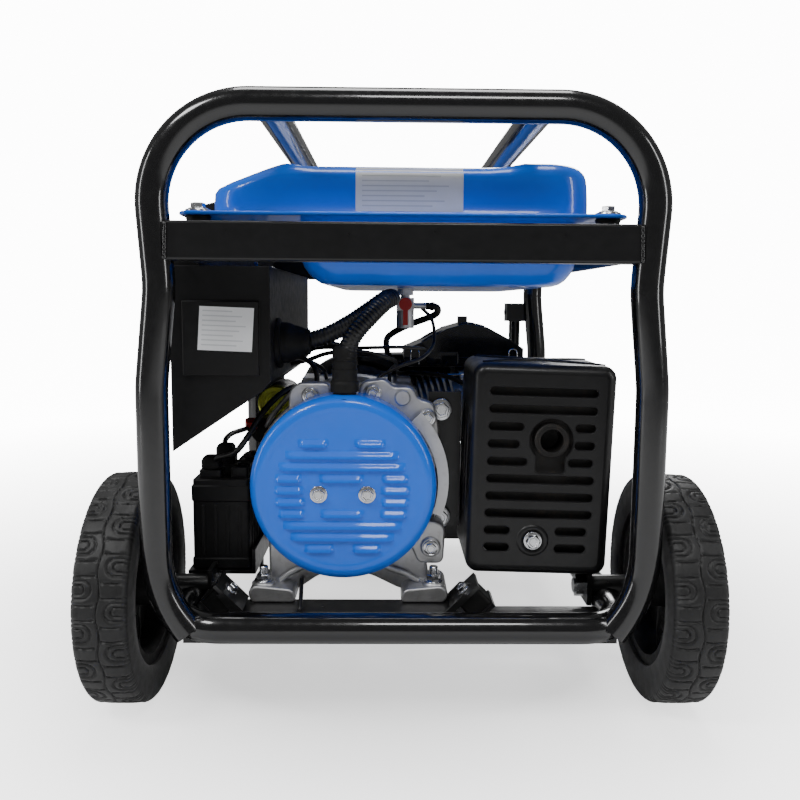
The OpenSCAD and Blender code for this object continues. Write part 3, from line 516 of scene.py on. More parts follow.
def tyre_piece(side):
    """Tyre turned from its section, with the tread cut in by the groove depth."""
    prof = [(88, -22), (88, -25.5), (92, -27.6), (104, -27.9), (115, -27.9), (119, -27.8)]
    prof += [(118.8 + 8 * sind(a), -19.8 - 8 * cosd(a)) for a in (15, 32, 50, 68)]
    n = 34
    prof += [(126.9 - 0.9 * (abs(-19 + 38 * i / n) / 19) ** 4, -19 + 38 * i / n) for i in range(n + 1)]
    prof += [(r, -t) for r, t in reversed(prof[:10])]
    seg = 540
    rings = []
    for i in range(seg):
        a = 2 * math.pi * i / seg
        s = a * WHEEL_R
        ring = []
        for r, t in prof:
            if r > 118.9:
                r = r - tread_depth(s, t)
            elif r > 108 and abs(t) > 27:
                t = t * (1 - 0.012 * (0.5 + 0.5 * math.cos(36 * a)) * (1 if r > 112 else 0))
            ring.append((side * WHEEL_X + t, AXLE_Y + r * math.cos(a), WHEEL_R + r * math.sin(a)))
        rings.append(ring)
    g = Geo()
    k = len(prof)
    verts = [p for r in rings for p in r]
    faces = [(i * k + j, i * k + j + 1, ((i + 1) % seg) * k + j + 1, ((i + 1) % seg) * k + j)
             for i in range(seg) for j in range(k - 1)]
    faces += [(i * k + k - 1, i * k, ((i + 1) % seg) * k, ((i + 1) % seg) * k + k - 1) for i in range(seg)]
    g.add(verts, faces)
    name = "left" if side < 0 else "right"
    return finish_piece(g, name + "_tyre_tread", M["tyre"], body=name + "_wheel", replaces=(name + "_tyre",),
                        sharp=48)


for side, name in ((-1, "left"), (1, "right")):
    tyre_piece(side)
    g = Geo()
    for k in range(6):
        a0 = math.radians(60 * k + 30)
        for face in (-1, 1):
            u = Vector((0, math.cos(a0), math.sin(a0)))
            c = Vector((side * WHEEL_X, AXLE_Y, WHEEL_R))
            ax = Vector((side, 0, 0))
            lo, hi = (5.5, 9.5) if face > 0 else (-3.0, 0.6)
            pts = []
            for r, w, h0, h1 in ((24, 2.4, lo, hi + face * 4), (50, 2.0, lo, hi + face * 5),
                                 (77, 1.8, lo, hi + face * 3)):
                v = ax.cross(u)
                pts.append([c + u * r + v * w + ax * h0, c + u * r - v * w + ax * h0,
                            c + u * r - v * w + ax * h1, c + u * r + v * w + ax * h1])
            g.rings(pts)
    g.lathe([(88, 21.4), (88, 22.6), (84, 23.4), (81, 22.4), (80.6, 20.5)], (side * WHEEL_X, AXLE_Y,
                                                                             WHEEL_R), (side, 0, 0),
            72, caps=OPEN)
    finish_piece(g, name + "_rim_ribs", M["wheel"], body=name + "_wheel", bevel=0.5)


# ---------------------------------------------------------------- fuel tank
def loft(levels, dz=None, n=7):
    """Rounded-rectangle levels: z, x0, x1, y0, y1, corner radius."""
    rings, sides = [], None
    for z, x0, x1, y0, y1, r in levels:
        ring = [(x, y, z) for x, y in round_rect(x0, x1, y0, y1, r, n)]
        # extra points on the long sides keep the pressing smooth
        full = []
        if sides is None:
            sides = {i for i in range(len(ring)) if (Vector(ring[(i + 1) % len(ring)]) - Vector(ring[i])).length > 60}
        for i, p in enumerate(ring):
            q = ring[(i + 1) % len(ring)]
            full.append(Vector(p))
            if i in sides:
                for k in range(1, 12):
                    full.append(Vector(p).lerp(Vector(q), k / 12))
        rings.append(full)
    if dz:
        rings = [[Vector((p.x, p.y, p.z + dz(p))) for p in ring] for ring in rings]
    return rings


def smooth(a, b, x):
    """0 below a, 1 above b, with a soft step between."""
    t = max(0.0, min(1.0, (x - a) / (b - a)))
    return t * t * (3 - 2 * t)


def pressing(p):
    """The middle of the tank's top is a little lower than its two shoulders."""
    f = smooth(-128, -98, p.x) * (1 - smooth(100, 130, p.x))
    return -5.0 * f * smooth(574, 592, p.z)


upper = [(534.4, -209, 205, -278, 278, 44), (535.6, -206, 202, -275, 275, 42), (539, -203.6, 199.6, -272,
                                                                                272, 40),
         (550, -203.2, 199.6, -271.6, 271.6, 40), (560, -202.6, 199.3, -271.2, 271.2, 40),
         (565, -199, 199, -271, 271, 40), (571, -187, 198.6, -270.6, 270.6, 40), (577, -172, 198, -270, 270,
                                                                                  40),
         (583, -157, 196, -267.5, 267.5, 38), (588, -145, 192.5, -263, 263, 36), (591.5, -136, 187, -257,
                                                                                  257, 33),
         (593.4, -128, 180.5, -250, 250, 31), (594, -118, 172, -241, 241, 28), (594, -108, 160, -230, 230,
                                                                                26),
         (593.4, -96, 140, -214, 214, 24), (591.5, -80, 104, -180, 180, 24), (591.2, -30, 54, -130, 130, 20)]
g = Geo()
g.rings(loft(upper, dz=pressing), caps=(False, True))
flange = [[(x, y, z) for x, y in round_rect(-227 + e, 227 - e, -300 + e, 300 - e, 12 - e, 5)]
          for z, e in ((533.1, 0.6), (533.6, 0), (535.2, 0), (535.9, 0.7), (536.0, 3.0), (536.0, 11.0))]
g.rings(flange)
finish_piece(g, "tank_shell_upper", M["blue"], replaces=("tank_upper",), sharp=40)
# rolled seam round the rim
g = Geo()
seam = [(x, y, 534.4) for x, y in round_rect(-226.6, 226.6, -299.6, 299.6, 12, 8)]
g.sweep(resample(seam + [seam[0]], 6.0)[:-1], 2.1, 10, ref=UP, closed=True)
finish_piece(g, "tank_seam", M["blue"], sharp=0)
lower = [(533.0, -113, 192, -251, 251, 34), (510, -112, 192, -250, 250, 32), (492, -112, 192, -250, 250, 32),
         (484, -109, 190.5, -248, 248, 32), (477, -104, 187, -244, 244, 32), (471, -98, 182.5, -239, 239, 31),
         (467, -92, 177, -233, 233, 29), (464.8, -85, 170, -226, 226, 27), (464.1, -76, 160, -216, 216, 25),
         (464.0, -50, 134, -190, 190, 24)]
finish_piece(Geo().rings(loft(lower)), "tank_shell_lower", M["blue"], replaces=("tank_lower",),
             sharp=40)
g = Geo()
g.lathe([(26, 584), (37, 584.2), (38, 586.5), (36.4, 588.4), (32, 589.5), (30.5, 592.2), (26.2, 592.2),
         (26, 588)],
        (40, 40, 0), UP, 64, caps=OPEN)
g.lathe([(25, 585), (24.5, 587.4), (22, 588.6), (18.5, 588.9)], (-90, 40, 0), UP, 48, caps=OPEN)
finish_piece(g, "filler_neck", M["zinc"], sharp=30)


def wall_y(x, z):
    """Front wall of the upper shell at a height."""
    zs = [(lv[0] + pressing(Vector((x, 0, lv[0]))), lv[3]) for lv in upper]
    for (z0, y0), (z1, y1) in zip(zs, zs[1:]):
        if z0 <= z <= z1:
            return y0 + (y1 - y0) * (z - z0) / (z1 - z0)
    return zs[-1][1]


def label_piece(name, nx, nz, surf):
    """Thin label over a surface. surf maps label axes 0..1 and a lift to a point in mm."""
    verts, faces, uvs = [], [], []
    for j in range(nz + 1):
        for i in range(nx + 1):
            a, b = i / nx, j / nz
            verts.append(surf(a, b, 0.35))
            uvs.append((a, b))
    for j in range(nz):
        for i in range(nx):
            p = j * (nx + 1) + i
            faces.append((p, p + 1, p + nx + 2, p + nx + 1))
    n = len(verts)
    back = [surf(i / nx, j / nz, 0.05) for j in range(nz + 1) for i in range(nx + 1)]
    rim = ([i for i in range(nx + 1)] + [(j + 1) * (nx + 1) + nx for j in range(nz)]
           + [nz * (nx + 1) + i for i in range(nx - 1, -1, -1)] + [j * (nx + 1) for j in range(nz - 1, 0,
                                                                                               -1)])
    back_faces = [tuple(n + i for i in reversed(f)) for f in faces]
    side_faces = [(rim[k], n + rim[k], n + rim[(k + 1) % len(rim)],
                   rim[(k + 1) % len(rim)]) for k in range(len(rim))]
    g = Geo().add(verts + back, faces + back_faces + side_faces)
    o = finish_piece(g, name, M["label"], sharp=40)
    layer = o.data.uv_layers.new(name="UVMap")
    for loop in o.data.loops:
        layer.data[loop.index].uv = uvs[loop.vertex_index % n]
    return o


label_piece("tank_label", 12, 14,
            lambda a, b, h: (-50 + 112 * a, wall_y(-50 + 112 * a, 540 + 46 * b) - h, 540 + 46 * b))
label_piece("panel_label", 4, 4, lambda a, b, h: (-216 + 57 * a + 3 * b, -275 - h, 395 + 46 * b - 2 * a))

g, w = Geo(), Geo()
for x in (-210, 210):
    for y in (-285, 285):
        g.bolt((x, y, 539.0), UP, 7.5, 5.5)
        g.lathe([(4, 536.2), (13, 536.2), (13.4, 537), (13, 538.4), (12.2, 539), (4, 539.0)], (x, y, 0), UP,
                40)
        w.lathe([(12.2, 523.2), (13.2, 524.5), (12.0, 528), (13.2, 531.5), (12.2, 532.8)], (x, y, 0), UP, 40)
finish_piece(g, "tank_bolt_heads", M["zinc"], replaces=("tank_bolts",), bevel=0.25)
finish_piece(w, "tank_grommet_rings", M["rubber"], replaces=("tank_grommets",), sharp=50)


# ---------------------------------------------------------------- alternator
COVER_FACE = -279.2
# height over the crankshaft, then the start and end of each louvre at that height
LOUVRES = [(50, [(-48, -15), (12, 46)]), (37.4, [(-61.5, 60)]), (24.6, [(-68.5, 67)]),
           (11.8, [(-73, -43), (-25.4, 23), (41, 71)]), (-1.0, [(-74, -41.6), (40, 73)]),
           (-13.8, [(-73, -40), (40, 72)]), (-26.6, [(-70, -40), (-24.6, 23), (39, 70)]),
           (-39.4, [(-64, 64)]),
           (-52.2, [(-56, 55.4)]), (-65, [(-42.4, -8.5), (9.2, 42.4)])]
g = Geo()
prof = [(97.2, -236.3), (100.9, -236.3), (101, -262)]
prof += [(89 + 12 * cosd(a), -268 - 12 * sind(a)) for a in (0, 12, 24, 36, 48, 60, 72, 84)]
prof += [(88, -280), (84.5, -279.6), (82.5, COVER_FACE), (60, COVER_FACE), (20, COVER_FACE),
         (0.5, COVER_FACE)]
g.lathe(prof, (CX, 0, CZ), BACK, 128, caps=(False, True))
inner = [(97.2, -236.3), (98.6, -262), (88, -276.8), (60, -277.2), (0.5, -277.2)]
g.lathe(inner, (CX, 0, CZ), BACK, 64, caps=(False, True))
slot_shade = Geo()


def louvre(geo, dark, x0, x1, zc, y):
    """Pressed louvre: swells from its top edge and ends in an open lip at the bottom, with a near-black flat under
    the lip as painted shade where the slot opens.
    """
    h, deep, nu, nv = 8.4, 3.9, 28, 8
    length = x1 - x0
    grid = []
    for j in range(nv + 1):
        v = j / nv
        row = []
        for i in range(nu + 1):
            u = i / nu
            e = min(u, 1 - u) * length
            end = smooth(0, 5.5, e)
            z = zc + h / 2 - h * v
            rise = deep * end * math.sin(v * math.pi / 2) ** 1.4
            row.append((CX + x0 + length * u, y - rise - 0.02, CZ + z))
        grid.append(row)
    lip = [(p[0], y - max(0.02, (y - p[1]) - 0.9), p[2] + 0.15) for p in grid[-1]]
    back = [(p[0], y + 0.3, p[2] + 0.2) for p in grid[-1]]
    rows = grid + [lip, back]
    k = nu + 1
    geo.add([p for r in rows[:-1] for p in r],
            [(j * k + i, j * k + i + 1, (j + 1) * k + i + 1, (j + 1) * k + i)
             for j in range(len(rows) - 2) for i in range(nu)])
    z = CZ + zc - h / 2
    m = Matrix(((1, 0, 0, 0), (0, 0, 1, y - 0.12), (0, 1, 0, 0), (0, 0, 0, 1)))
    # near-black flat just proud of the face under the lip: painted shade where the slot opens
    dark.prism(capsule(CX + x0 + 3, CX + x1 - 3, z - 0.1 + 0.75, 1.7, 4), -0.1, 0.15, m)


for zc, spans in LOUVRES:
    for x0, x1 in spans:
        louvre(g, slot_shade, x0, x1, zc, COVER_FACE)
finish_piece(g, "cover_pressing", M["blue"], replaces=("end_cover",), sharp=42)
# the dark flats in the louvre slots are painted shade
finish_piece(slot_shade, "cover_slot_painted_shade", M["dark"], smooth=False)
g = Geo()
for x in (-26, 26):
    g.bolt((CX + x, -279.3, CZ - 6), FRONT, 7.2, 5.0)
finish_piece(g, "cover_bolt_heads", M["zinc"], replaces=("cover_bolts",), bevel=0.25)


# ---------------------------------------------------------------- cast end bracket
TO_XZ = Matrix(((1, 0, 0, 0), (0, 0, 1, 0), (0, 1, 0, 0), (0, 0, 0, 1)))   # drawing x, y -> X, Z; depth -> Y


def rounded(points, r, n=5):
    """Outline with every corner rounded."""
    out, k = [], len(points)
    for i, p in enumerate(points):
        p, a, b = Vector(p), Vector(points[i - 1]), Vector(points[(i + 1) % k])
        ua, ub = (a - p), (b - p)
        t = min(r, 0.45 * ua.length, 0.45 * ub.length)
        p0, p1 = p + ua.normalized() * t, p + ub.normalized() * t
        for j in range(n + 1):
            u = j / n
            q = p0 * (1 - u) ** 2 + p * 2 * u * (1 - u) + p1 * u ** 2
            out.append((q.x, q.y))
    return out


def cast_part(geo, outline, y0, y1, holes=(), edge=2.4, r=6):
    """Cast slab in crank-centred X and Z, from y0 to y1, with rounded corners and edges."""
    m = Matrix.Translation((CX, (y0 + y1) / 2, CZ)) @ TO_XZ
    geo.add(*plate(rounded(outline, r), list(holes), y1 - y0, edge, m))


def mirrored(s, pts):
    """The outline itself, or its mirror image where s is -1, turning the same way."""
    return [(s * x, zz) for x, zz in pts][::s]


FOOT_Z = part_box("end_bracket")[0][2] / MM - CZ
g, z = Geo(), Geo()
ring = [(101.5 * cosd(5 * i), 101.5 * sind(5 * i)) for i in range(72)]
hole = [(92 * cosd(5 * i), 92 * sind(5 * i)) for i in range(72)]
cast_part(g, ring, -230, -202, holes=[hole], r=1)
cast_part(g, [(-60, 78), (-60, 100), (-51, 107.5), (-18, 107.5), (-18, 84)], -236, -212)
cast_part(g, [(18, 84), (18, 109), (44, 112.5), (52, 103.5), (74, 103.5), (80, 90), (97.5, 86), (103, 58),
              (101.5, 12),
              (82, 12)], -236, -212, r=8)
cast_part(g, [(69, -57), (85, -93.5), (109.5, -93.5), (111.5, -54), (99, -48)], -236, -212)
for s, o in ((-1, 0), (1, 10)):
    cast_part(g, mirrored(s, [(54.5 + o, FOOT_Z + 2.6), (101.5 + o, FOOT_Z + 2.6), (103.5 + o, FOOT_Z + 12),
                       (98 + o, FOOT_Z + 17), (58 + o, FOOT_Z + 13)]), -264.5, -202, r=10)
    cast_part(g, mirrored(s, [(56 + o, FOOT_Z + 7), (80 + o, FOOT_Z + 9), (83 + o, FOOT_Z + 20), (84, -62),
                              (62, -70), (22, -93),
                       (2, -96), (2, -103), (30, -107)]), -234, -206, r=9, edge=3)
    # rib down the arm and round pad with its stud and nut on the foot
    arm = [Vector((CX + s * x, -240, CZ + zz)) for x, zz in ((38, -94), (50, -100), (62 + o / 2, -106),
                                                             (74 + o, FOOT_Z + 17))]
    g.sweep(spline(arm, 8), [3.4] * 24 + [4.6], 12, ref=(0, 1, 0.01))
    px = CX + s * (90 + o)
    g.lathe([(13.5, FOOT_Z + CZ + 14), (13.2, FOOT_Z + CZ + 19), (11.8, FOOT_Z + CZ + 20.6),
             (2, FOOT_Z + CZ + 20.6)],
            (px, -250, 0), UP, 36)
    z.bolt((px, -250, CZ + FOOT_Z + 20.8), UP, 8.0, 7)
    z.lathe([(5, CZ + FOOT_Z + 28), (5, CZ + FOOT_Z + 37), (4.3, CZ + FOOT_Z + 38)], (px, -250, 0), UP, 24)
for x, zz, r in ((-38, 96, 10), (31, 99, 10.5), (64, 94, 9), (92, 72, 10), (97, -76, 11.5), (99, 34, 8)):
    g.lathe([(r, -235), (r, -238.4), (r - 1.6, -240), (3, -240)], (CX + x, 0, CZ + zz), BACK, 36)
for x, zz in ((-38, 96), (31, 99), (92, 72), (97, -76)):
    z.bolt((CX + x, -240.2, CZ + zz), FRONT, 6.6, 5)
# curved strap beside the cover
path = [(CX + 110 * cosd(a), CZ + 106 * sind(a)) for a in range(44, -22, -4)]
rings = []
for i, (x, zz) in enumerate(path):
    a = math.radians(44 - 4 * i)
    n = Vector((math.cos(a), 0, math.sin(a)))
    c = Vector((x, -247, zz))
    w = 7.5 - 2.5 * i / len(path)
    rings.append([c - n * w, c - n * w + Vector((0, 3, 0)), c + n * w + Vector((0, 3, 0)), c + n * w])
g.rings(rings)
finish_piece(g, "cast_bracket", M["cast"], replaces=("end_bracket",), sharp=40)
finish_piece(z, "bracket_bolts", M["zinc"], bevel=0.25)

# Copper winding ends on the stator
g = Geo()
for k in range(24):
    a = 2 * math.pi * k / 24
    c = Vector((CX + 78 * math.cos(a), -24, CZ + 78 * math.sin(a)))
    t = Vector((-math.sin(a), 0, math.cos(a)))
    pts = [c - t * 9 + Vector((0, -8, 0)), c - t * 8 + Vector((0, 4, 0)), c + Vector((0, 9, 0)),
           c + t * 8 + Vector((0, 4, 0)), c + t * 9 + Vector((0, -8, 0))]
    g.sweep(spline(pts, 4), 3.2, 8, ref=(math.cos(a), 0.01, math.sin(a)))
finish_piece(g, "winding_ends", M["copper"], sharp=0)


# ---------------------------------------------------------------- muffler guard
MUF, LEAN = Vector((150, -280, 267)), math.radians(1.5)
AT_MUF = Matrix.Translation(MUF) @ Matrix.Rotation(LEAN, 4, "Y")
ROWS = [(0, -60, 58), (1, -60, 58), (5, -60, 58), (6, -60, 58), (7, -60, 58), (2, -60, -20), (2, 33, 57),
        (3, -60, -24), (3, 33, 57), (4, -60, -15), (4, 27, 56), (8, -60, -30), (8, 17, 53), (9, -60, -30),
        (9, 17, 53)]
SLOTS = [(x0, x1, 85.5 - 18.9 * row) for row, x0, x1 in ROWS]


def keyhole(cx, cz, r, w, drop):
    """Round hole with a square-ended tab below it."""
    a = math.degrees(math.asin(w / r))
    pts = arc(cx, cz, r, -90 + a, 270 - a, 40)
    pts += arc(cx - w + 5, cz - drop + 5, 5, 180, 270, 5) + arc(cx + w - 5, cz - drop + 5, 5, 270, 360, 5)
    return pts


g = Geo()
holes = [capsule(x0, x1, z, 11.0, 8) for x0, x1, z in SLOTS] + [keyhole(9, 34, 24.5, 17, 37)]
g.add(*plate(round_rect(-66, 66, -104, 104, 5, 5), holes, 1.6, 0.35,
             AT_MUF @ Matrix.Translation((0, 1.6, 0)) @ TO_XZ))
for x0, x1, z in SLOTS:                       # rolled lips inside the slots
    lip = [AT_MUF @ Vector((x, 2.6, zz)) for x, zz in capsule(x0 + 0.3, x1 - 0.3, z, 10.4, 8)]
    g.sweep(lip, 1.0, 6, ref=(0.01, 1, 0.02), closed=True)
lip = [AT_MUF @ Vector((x, 2.6, zz)) for x, zz in keyhole(9, 34, 24.2, 16.6, 36.6)]
g.sweep(lip, 1.1, 6, ref=(0.01, 1, 0.02), closed=True)
sec = [(66, 104, 5, 0.8)]                     # half width, half height, corner radius, depth
for a in (15, 30, 45, 60, 75, 90):
    out, back = sind(a), 1 - cosd(a)
    sec.append((66 + 11 * out, 104 + 11 * out, 5 + 9 * out, 0.8 + 11 * back))
sec += [(77, 115, 14, 40), (77, 115, 14, 95), (77, 115, 14, 121), (76.2, 114.2, 13.2, 121.8),
        (75.2, 113.2, 12.4, 121),
        (75.2, 113.2, 12.4, 20)]
g.rings([[AT_MUF @ Vector((x, y, z)) for x, z in round_rect(-w, w, -h, h, r, 8)] for w, h, r, y in sec],
        caps=OPEN)
# cross pressing on the top and a stiffening bead on each side
for a, b in (((-66, 18), (66, 112)), ((66, 18), (-66, 112))):
    p = [AT_MUF @ Vector((a[0] + (b[0] - a[0]) * i / 20, a[1] + (b[1] - a[1]) * i / 20,
                          115.2)) for i in range(21)]
    g.sweep(p, [1.0 + 1.6 * math.sin(math.pi * i / 20) ** 0.5 for i in range(21)], 10, ref=UP)
for s in (-1, 1):
    for y0 in (38, 66, 94):
        p = [AT_MUF @ Vector((s * 76.6, y0, -74 + 148 * i / 24)) for i in range(25)]
        g.sweep(p, [1.9 * min(1, 4 * min(i, 24 - i) / 24 + 0.1) for i in range(25)], 10, ref=RIGHT)
finish_piece(g, "guard_stamping", M["guard"], replaces=("muffler_guard",), sharp=36)

g, z = Geo(), Geo()
c = AT_MUF @ Vector((9, 0, 34))
g.lathe([(18.4, 16), (18.2, 2), (18.6, -1.6), (17.6, -2.6), (15.2, -2.4), (13.6, -0.6), (12.7, 3),
         (12.6, 28)],
        c, BACK, 56, caps=OPEN)
g.lathe([(12.6, 28), (5, 30), (0.4, 30)], c, BACK, 40, caps=(False, True))
finish_piece(g, "outlet_pipe", M["heat"], sharp=36)
c = AT_MUF @ Vector((-6, 0, -76))
z.bolt(c + Vector((0, -0.6, 0)), FRONT, 7.6, 5.5)
g = Geo()
g.lathe([(17.5, 0.9), (16.0, -0.6), (12.6, -0.9), (11.2, 0.4), (9, 0.6)], c, BACK, 48, caps=OPEN)
finish_piece(g, "guard_bolt_dimple", M["guard"], sharp=50)
for zz in (198, 324):
    z.bolt((46, -205.6, zz), FRONT, 9.6, 6.5)
finish_piece(z, "muffler_bolts", M["zinc"], bevel=0.25)


# ---------------------------------------------------------------- conduit, hoses and cables
CONDUIT = [(-109, -214, 401), (-84, -212, 409), (-58, -206, 423), (-36, -200, 438), (-20, -203, 449),
           (-12, -217, 451),
         (-20, -234, 446), (-34, -248, 432), (-50, -258, 414), (-59, -261, 396), (-62, -261, 380),
           (-62, -261, 362)]
STEP, RIB = 0.62, 4.3                         # sample step and rib pitch along the conduit
path = resample(spline(CONDUIT, 40), STEP)
g = Geo()
g.sweep(path,
        [9.2 + 0.95 * (0.5 + 0.5 * math.cos(2 * math.pi * i * STEP / RIB)) ** 0.6 for i in range(len(path))], 24,
        ref=(0.3, 1, 0.1))
finish_piece(g, "conduit_ribbed", M["hose"], replaces=("conduit",), sharp=0)
g = Geo()
g.lathe([(10.5, 400), (11.5, 398), (13.2, 396), (13.4, 388), (12.6, 387), (12.6, 384), (13.8, 383),
         (13.8, 379),
         (13.0, 378), (13.0, 375), (14.2, 374), (14.2, 370), (13.6, 369), (13.8, 362), (14.8, 361),
         (15.4, 357),
         (15.6, 350), (12.6, 349), (12.6, 345), (17, 344.6), (19, 343.6), (19, 340), (10, 340)][::-1],
        (-62, -258.5, 0), UP, 40, caps=OPEN)
g.lathe([(28, 0), (28, 4), (26.4, 5), (23.2, 5.6), (22.6, 10), (22.9, 11), (21.6, 16), (19.4, 20),
         (18.4, 24), (16.6, 29), (14.6, 33),
         (14.8, 34), (14.2, 37), (11, 38)], (-140, -215, 400), (1, 0, 0.035), 48,
        caps=OPEN)
finish_piece(g, "conduit_boots", M["rubber"], sharp=40)
LEADS = [
    [(-221, -190, 257), (-210, -204, 266), (-188, -222, 276), (-172, -226, 296), (-158, -214, 320),
     (-144, -190, 336),
      (-132, -140, 342), (-140, -80, 330), (-172, -36, 292), (-184, -6, 273)],
    [(-221, -107, 257), (-224, -96, 268), (-222, -70, 272), (-216, -40, 272), (-201, -6, 273)],
    [(-142, -60, 380), (-110, -58, 390), (-84, -46, 390), (-76, -10, 380), (-78, 60, 362), (-82, 130, 350),
      (-84, 176, 345), (-84, 191.5, 345)]]
g = Geo()
for pts in LEADS:
    g.sweep(resample(spline(pts, 16), 4), 3.5, 14, ref=(0.1, 0.2, 1))
THIN_WIRES = [                                # points and radius of each
    ([(-141, -30, 372), (-110, -34, 384), (-66, -60, 386), (-30, -80, 388), (0, -70, 388), (30, -30, 384),
      (40, 30, 378),
      (44, 66, 374)], 2.4),
    ([(-141, -80, 366), (-118, -92, 372), (-90, -104, 382), (-52, -104, 384), (-20, -80, 376), (-4, -30, 364),
      (-12, 10, 350), (-14, 30, 329)], 2.8),
    ([(-141, -150, 374), (-128, -160, 380), (-112, -172, 378), (-100, -180, 366), (-98, -186, 344)], 3.0),
    ([(-36, -186, 344), (-24, -184, 360), (0, -176, 372), (26, -150, 380), (42, -110, 396), (40, -100, 424),
      (26, -96, 440)],
     2.2),
    ([(-141, 0, 368), (-118, 10, 360), (-106, 30, 348), (-104, 56, 329)], 3.0),
    ([(-112, -238, 134), (-110, -262, 130), (-109, -280, 122), (-109.6, -292, 112)], 2.4)]
for pts, r in THIN_WIRES:
    g.sweep(resample(spline(pts, 16), 4), r, 12, ref=(0.1, 0.2, 1))
finish_piece(g, "cable_runs", M["hose"], replaces=("wiring",), sharp=0)
FUEL = [(32.2, -100, 442), (46, -96, 440), (44, -74, 430), (10, -50, 416), (-14, 0, 400), (-18, 60, 384),
        (-14, 110, 366),
        (-2, 138, 352), (20, 160, 344), (50, 174, 340), (83.9, 178, 338)]
g = Geo()
g.sweep(resample(spline(FUEL, 16), 4), 4.5, 16, ref=(0.02, 0.01, 1))
for i in (2, -3):
    p = resample(spline(FUEL, 16), 4)
    q, d = p[i], (p[i + 1] - p[i]).normalized()
    g.lathe([(5.0, -2), (5.4, -1.6), (5.4, 1.6), (5.0, 2)], q, d, 24, caps=OPEN)
finish_piece(g, "fuel_hose", M["rubber"], replaces=("fuel_line",), sharp=0)


# ---------------------------------------------------------------- battery
g, z, r = Geo(), Geo(), Geo()
bx0, bx1, by0, by1, bz0, bz1 = -242, -173, -212, -85, 136, 242
g.rings([[(x, y, zz) for x, y in round_rect(bx0 + e, bx1 - e, by0 + e, by1 - e, 5, 4)] for zz, e in
         ((bz0, 1.0), (bz0 + 1, 0), (bz0 + 12, 0), (bz0 + 13, 1.2), (bz1 - 26, 1.2), (bz1 - 25, 0),
          (bz1 - 8, 0),
          (bz1 - 7, 1.5), (bz1 - 1.2, 1.5), (bz1, 2.6))])
for k in range(9):                            # case ribs
    y = by0 + 14 + k * 12.4
    for x in (bx0 + 0.6, bx1 - 0.6):
        g.rings([[(x - 1.0, y - 1.4, zz), (x + 1.0, y - 1.4, zz), (x + 1.0, y + 1.4, zz),
                  (x - 1.0, y + 1.4, zz)]
                 for zz in (bz0 + 14, bz1 - 28)])
for x in (-228, -214, -200, -186):
    g.rings([[(x - 1.6, by0 + 0.4, zz), (x + 1.6, by0 + 0.4, zz), (x + 1.6, by0 + 2.4, zz),
              (x - 1.6, by0 + 2.4, zz)]
             for zz in (bz0 + 16, bz1 - 30)])
g.prism(round_rect(bx0 + 44, bx1 - 5, by0 + 12, by1 - 12, 3, 4), bz1 - 0.5, bz1 + 12)
for k in range(3):
    g.lathe([(7, bz1 + 12), (7, bz1 + 14.5), (6, bz1 + 15.4), (0.3, bz1 + 15.4)], (-186, -185 + 37 * k, 0),
            UP, 28,
            caps=(False, True))
for y in (-190, -107):
    g.prism(round_rect(bx0 + 8, bx0 + 34, y - 12, y + 12, 3, 4), bz1 - 0.5, bz1 + 9)
    z.lathe([(6, bz1 + 9), (6, bz1 + 15), (5.4, bz1 + 16), (0.3, bz1 + 16)], (bx0 + 21, y, 0), UP, 28,
            caps=(False, True))
    z.bolt((bx0 + 21, y, bz1 + 14), UP, 5.4, 4)
for y in (-190, -107):                        # dark terminal clamps with their covers
    r.rings([[Vector((-221 + a * s, y + b * s, zz)) for a, b in round_rect(-11, 11, -12, 12, 4, 4)]
             for zz, s in ((252, 0.9), (254, 1.0), (262, 1.0), (266, 0.8), (267, 0.5))])
finish_piece(g, "battery_case", M["plastic"], replaces=("battery",), bevel=0.5)
finish_piece(z, "battery_posts", M["zinc"], bevel=0.2)
finish_piece(r, "battery_clamps", M["rubber"], bevel=0.8, seg=3)


# ---------------------------------------------------------------- starter, relay boot, small hardware
g = Geo()
g.lathe([(25.6, 62), (25.6, 58.6), (23.4, 56.4), (21.5, 56.6), (20.6, 57.6), (17.2, 57.6), (16.4, 56.4),
         (12.6, 56.2),
         (11.6, 57.2), (8.2, 57.2), (7.4, 55.6), (0.3, 55.2)], (-180, 0, 298), BACK, 64, caps=(False, True))
finish_piece(g, "starter_cap_rings", M["yellow"], sharp=30)
g = Geo()
g.lathe([(25.3, 70), (25.3, 178)], (-180, 0, 298), BACK, 56, caps=OPEN)
finish_piece(g, "starter_body", M["plastic"], sharp=30)
g = Geo()
g.rings([[Vector((-205, 0, 277)) + Vector((a, y, b)) for a, b in round_rect(-8 * s, 8 * s, -8 * s, 8 * s,
                                                                            3.4 * s, 4)]
         for y, s in ((-3, 1.0), (-8, 1.05), (-13, 0.95), (-20, 0.6), (-24, 0.5))])
finish_piece(g, "relay_boot", M["red"], bevel=0.8, seg=3)


# ---------------------------------------------------------------- engine details
g, z, p = Geo(), Geo(), Geo()
ax = Vector((sind(75), 0, cosd(75)))
top = Vector((CX, CYLINDER_Y, CZ)) + ax * 222
nx = ax.cross(Vector(BACK)).normalized()
for a in (-1, 1):
    for b in (-1, 1):
        z.bolt(top + nx * (a * 33) + Vector((0, b * 37, 0)) - ax * 0.5, ax, 5.4, 4.5)
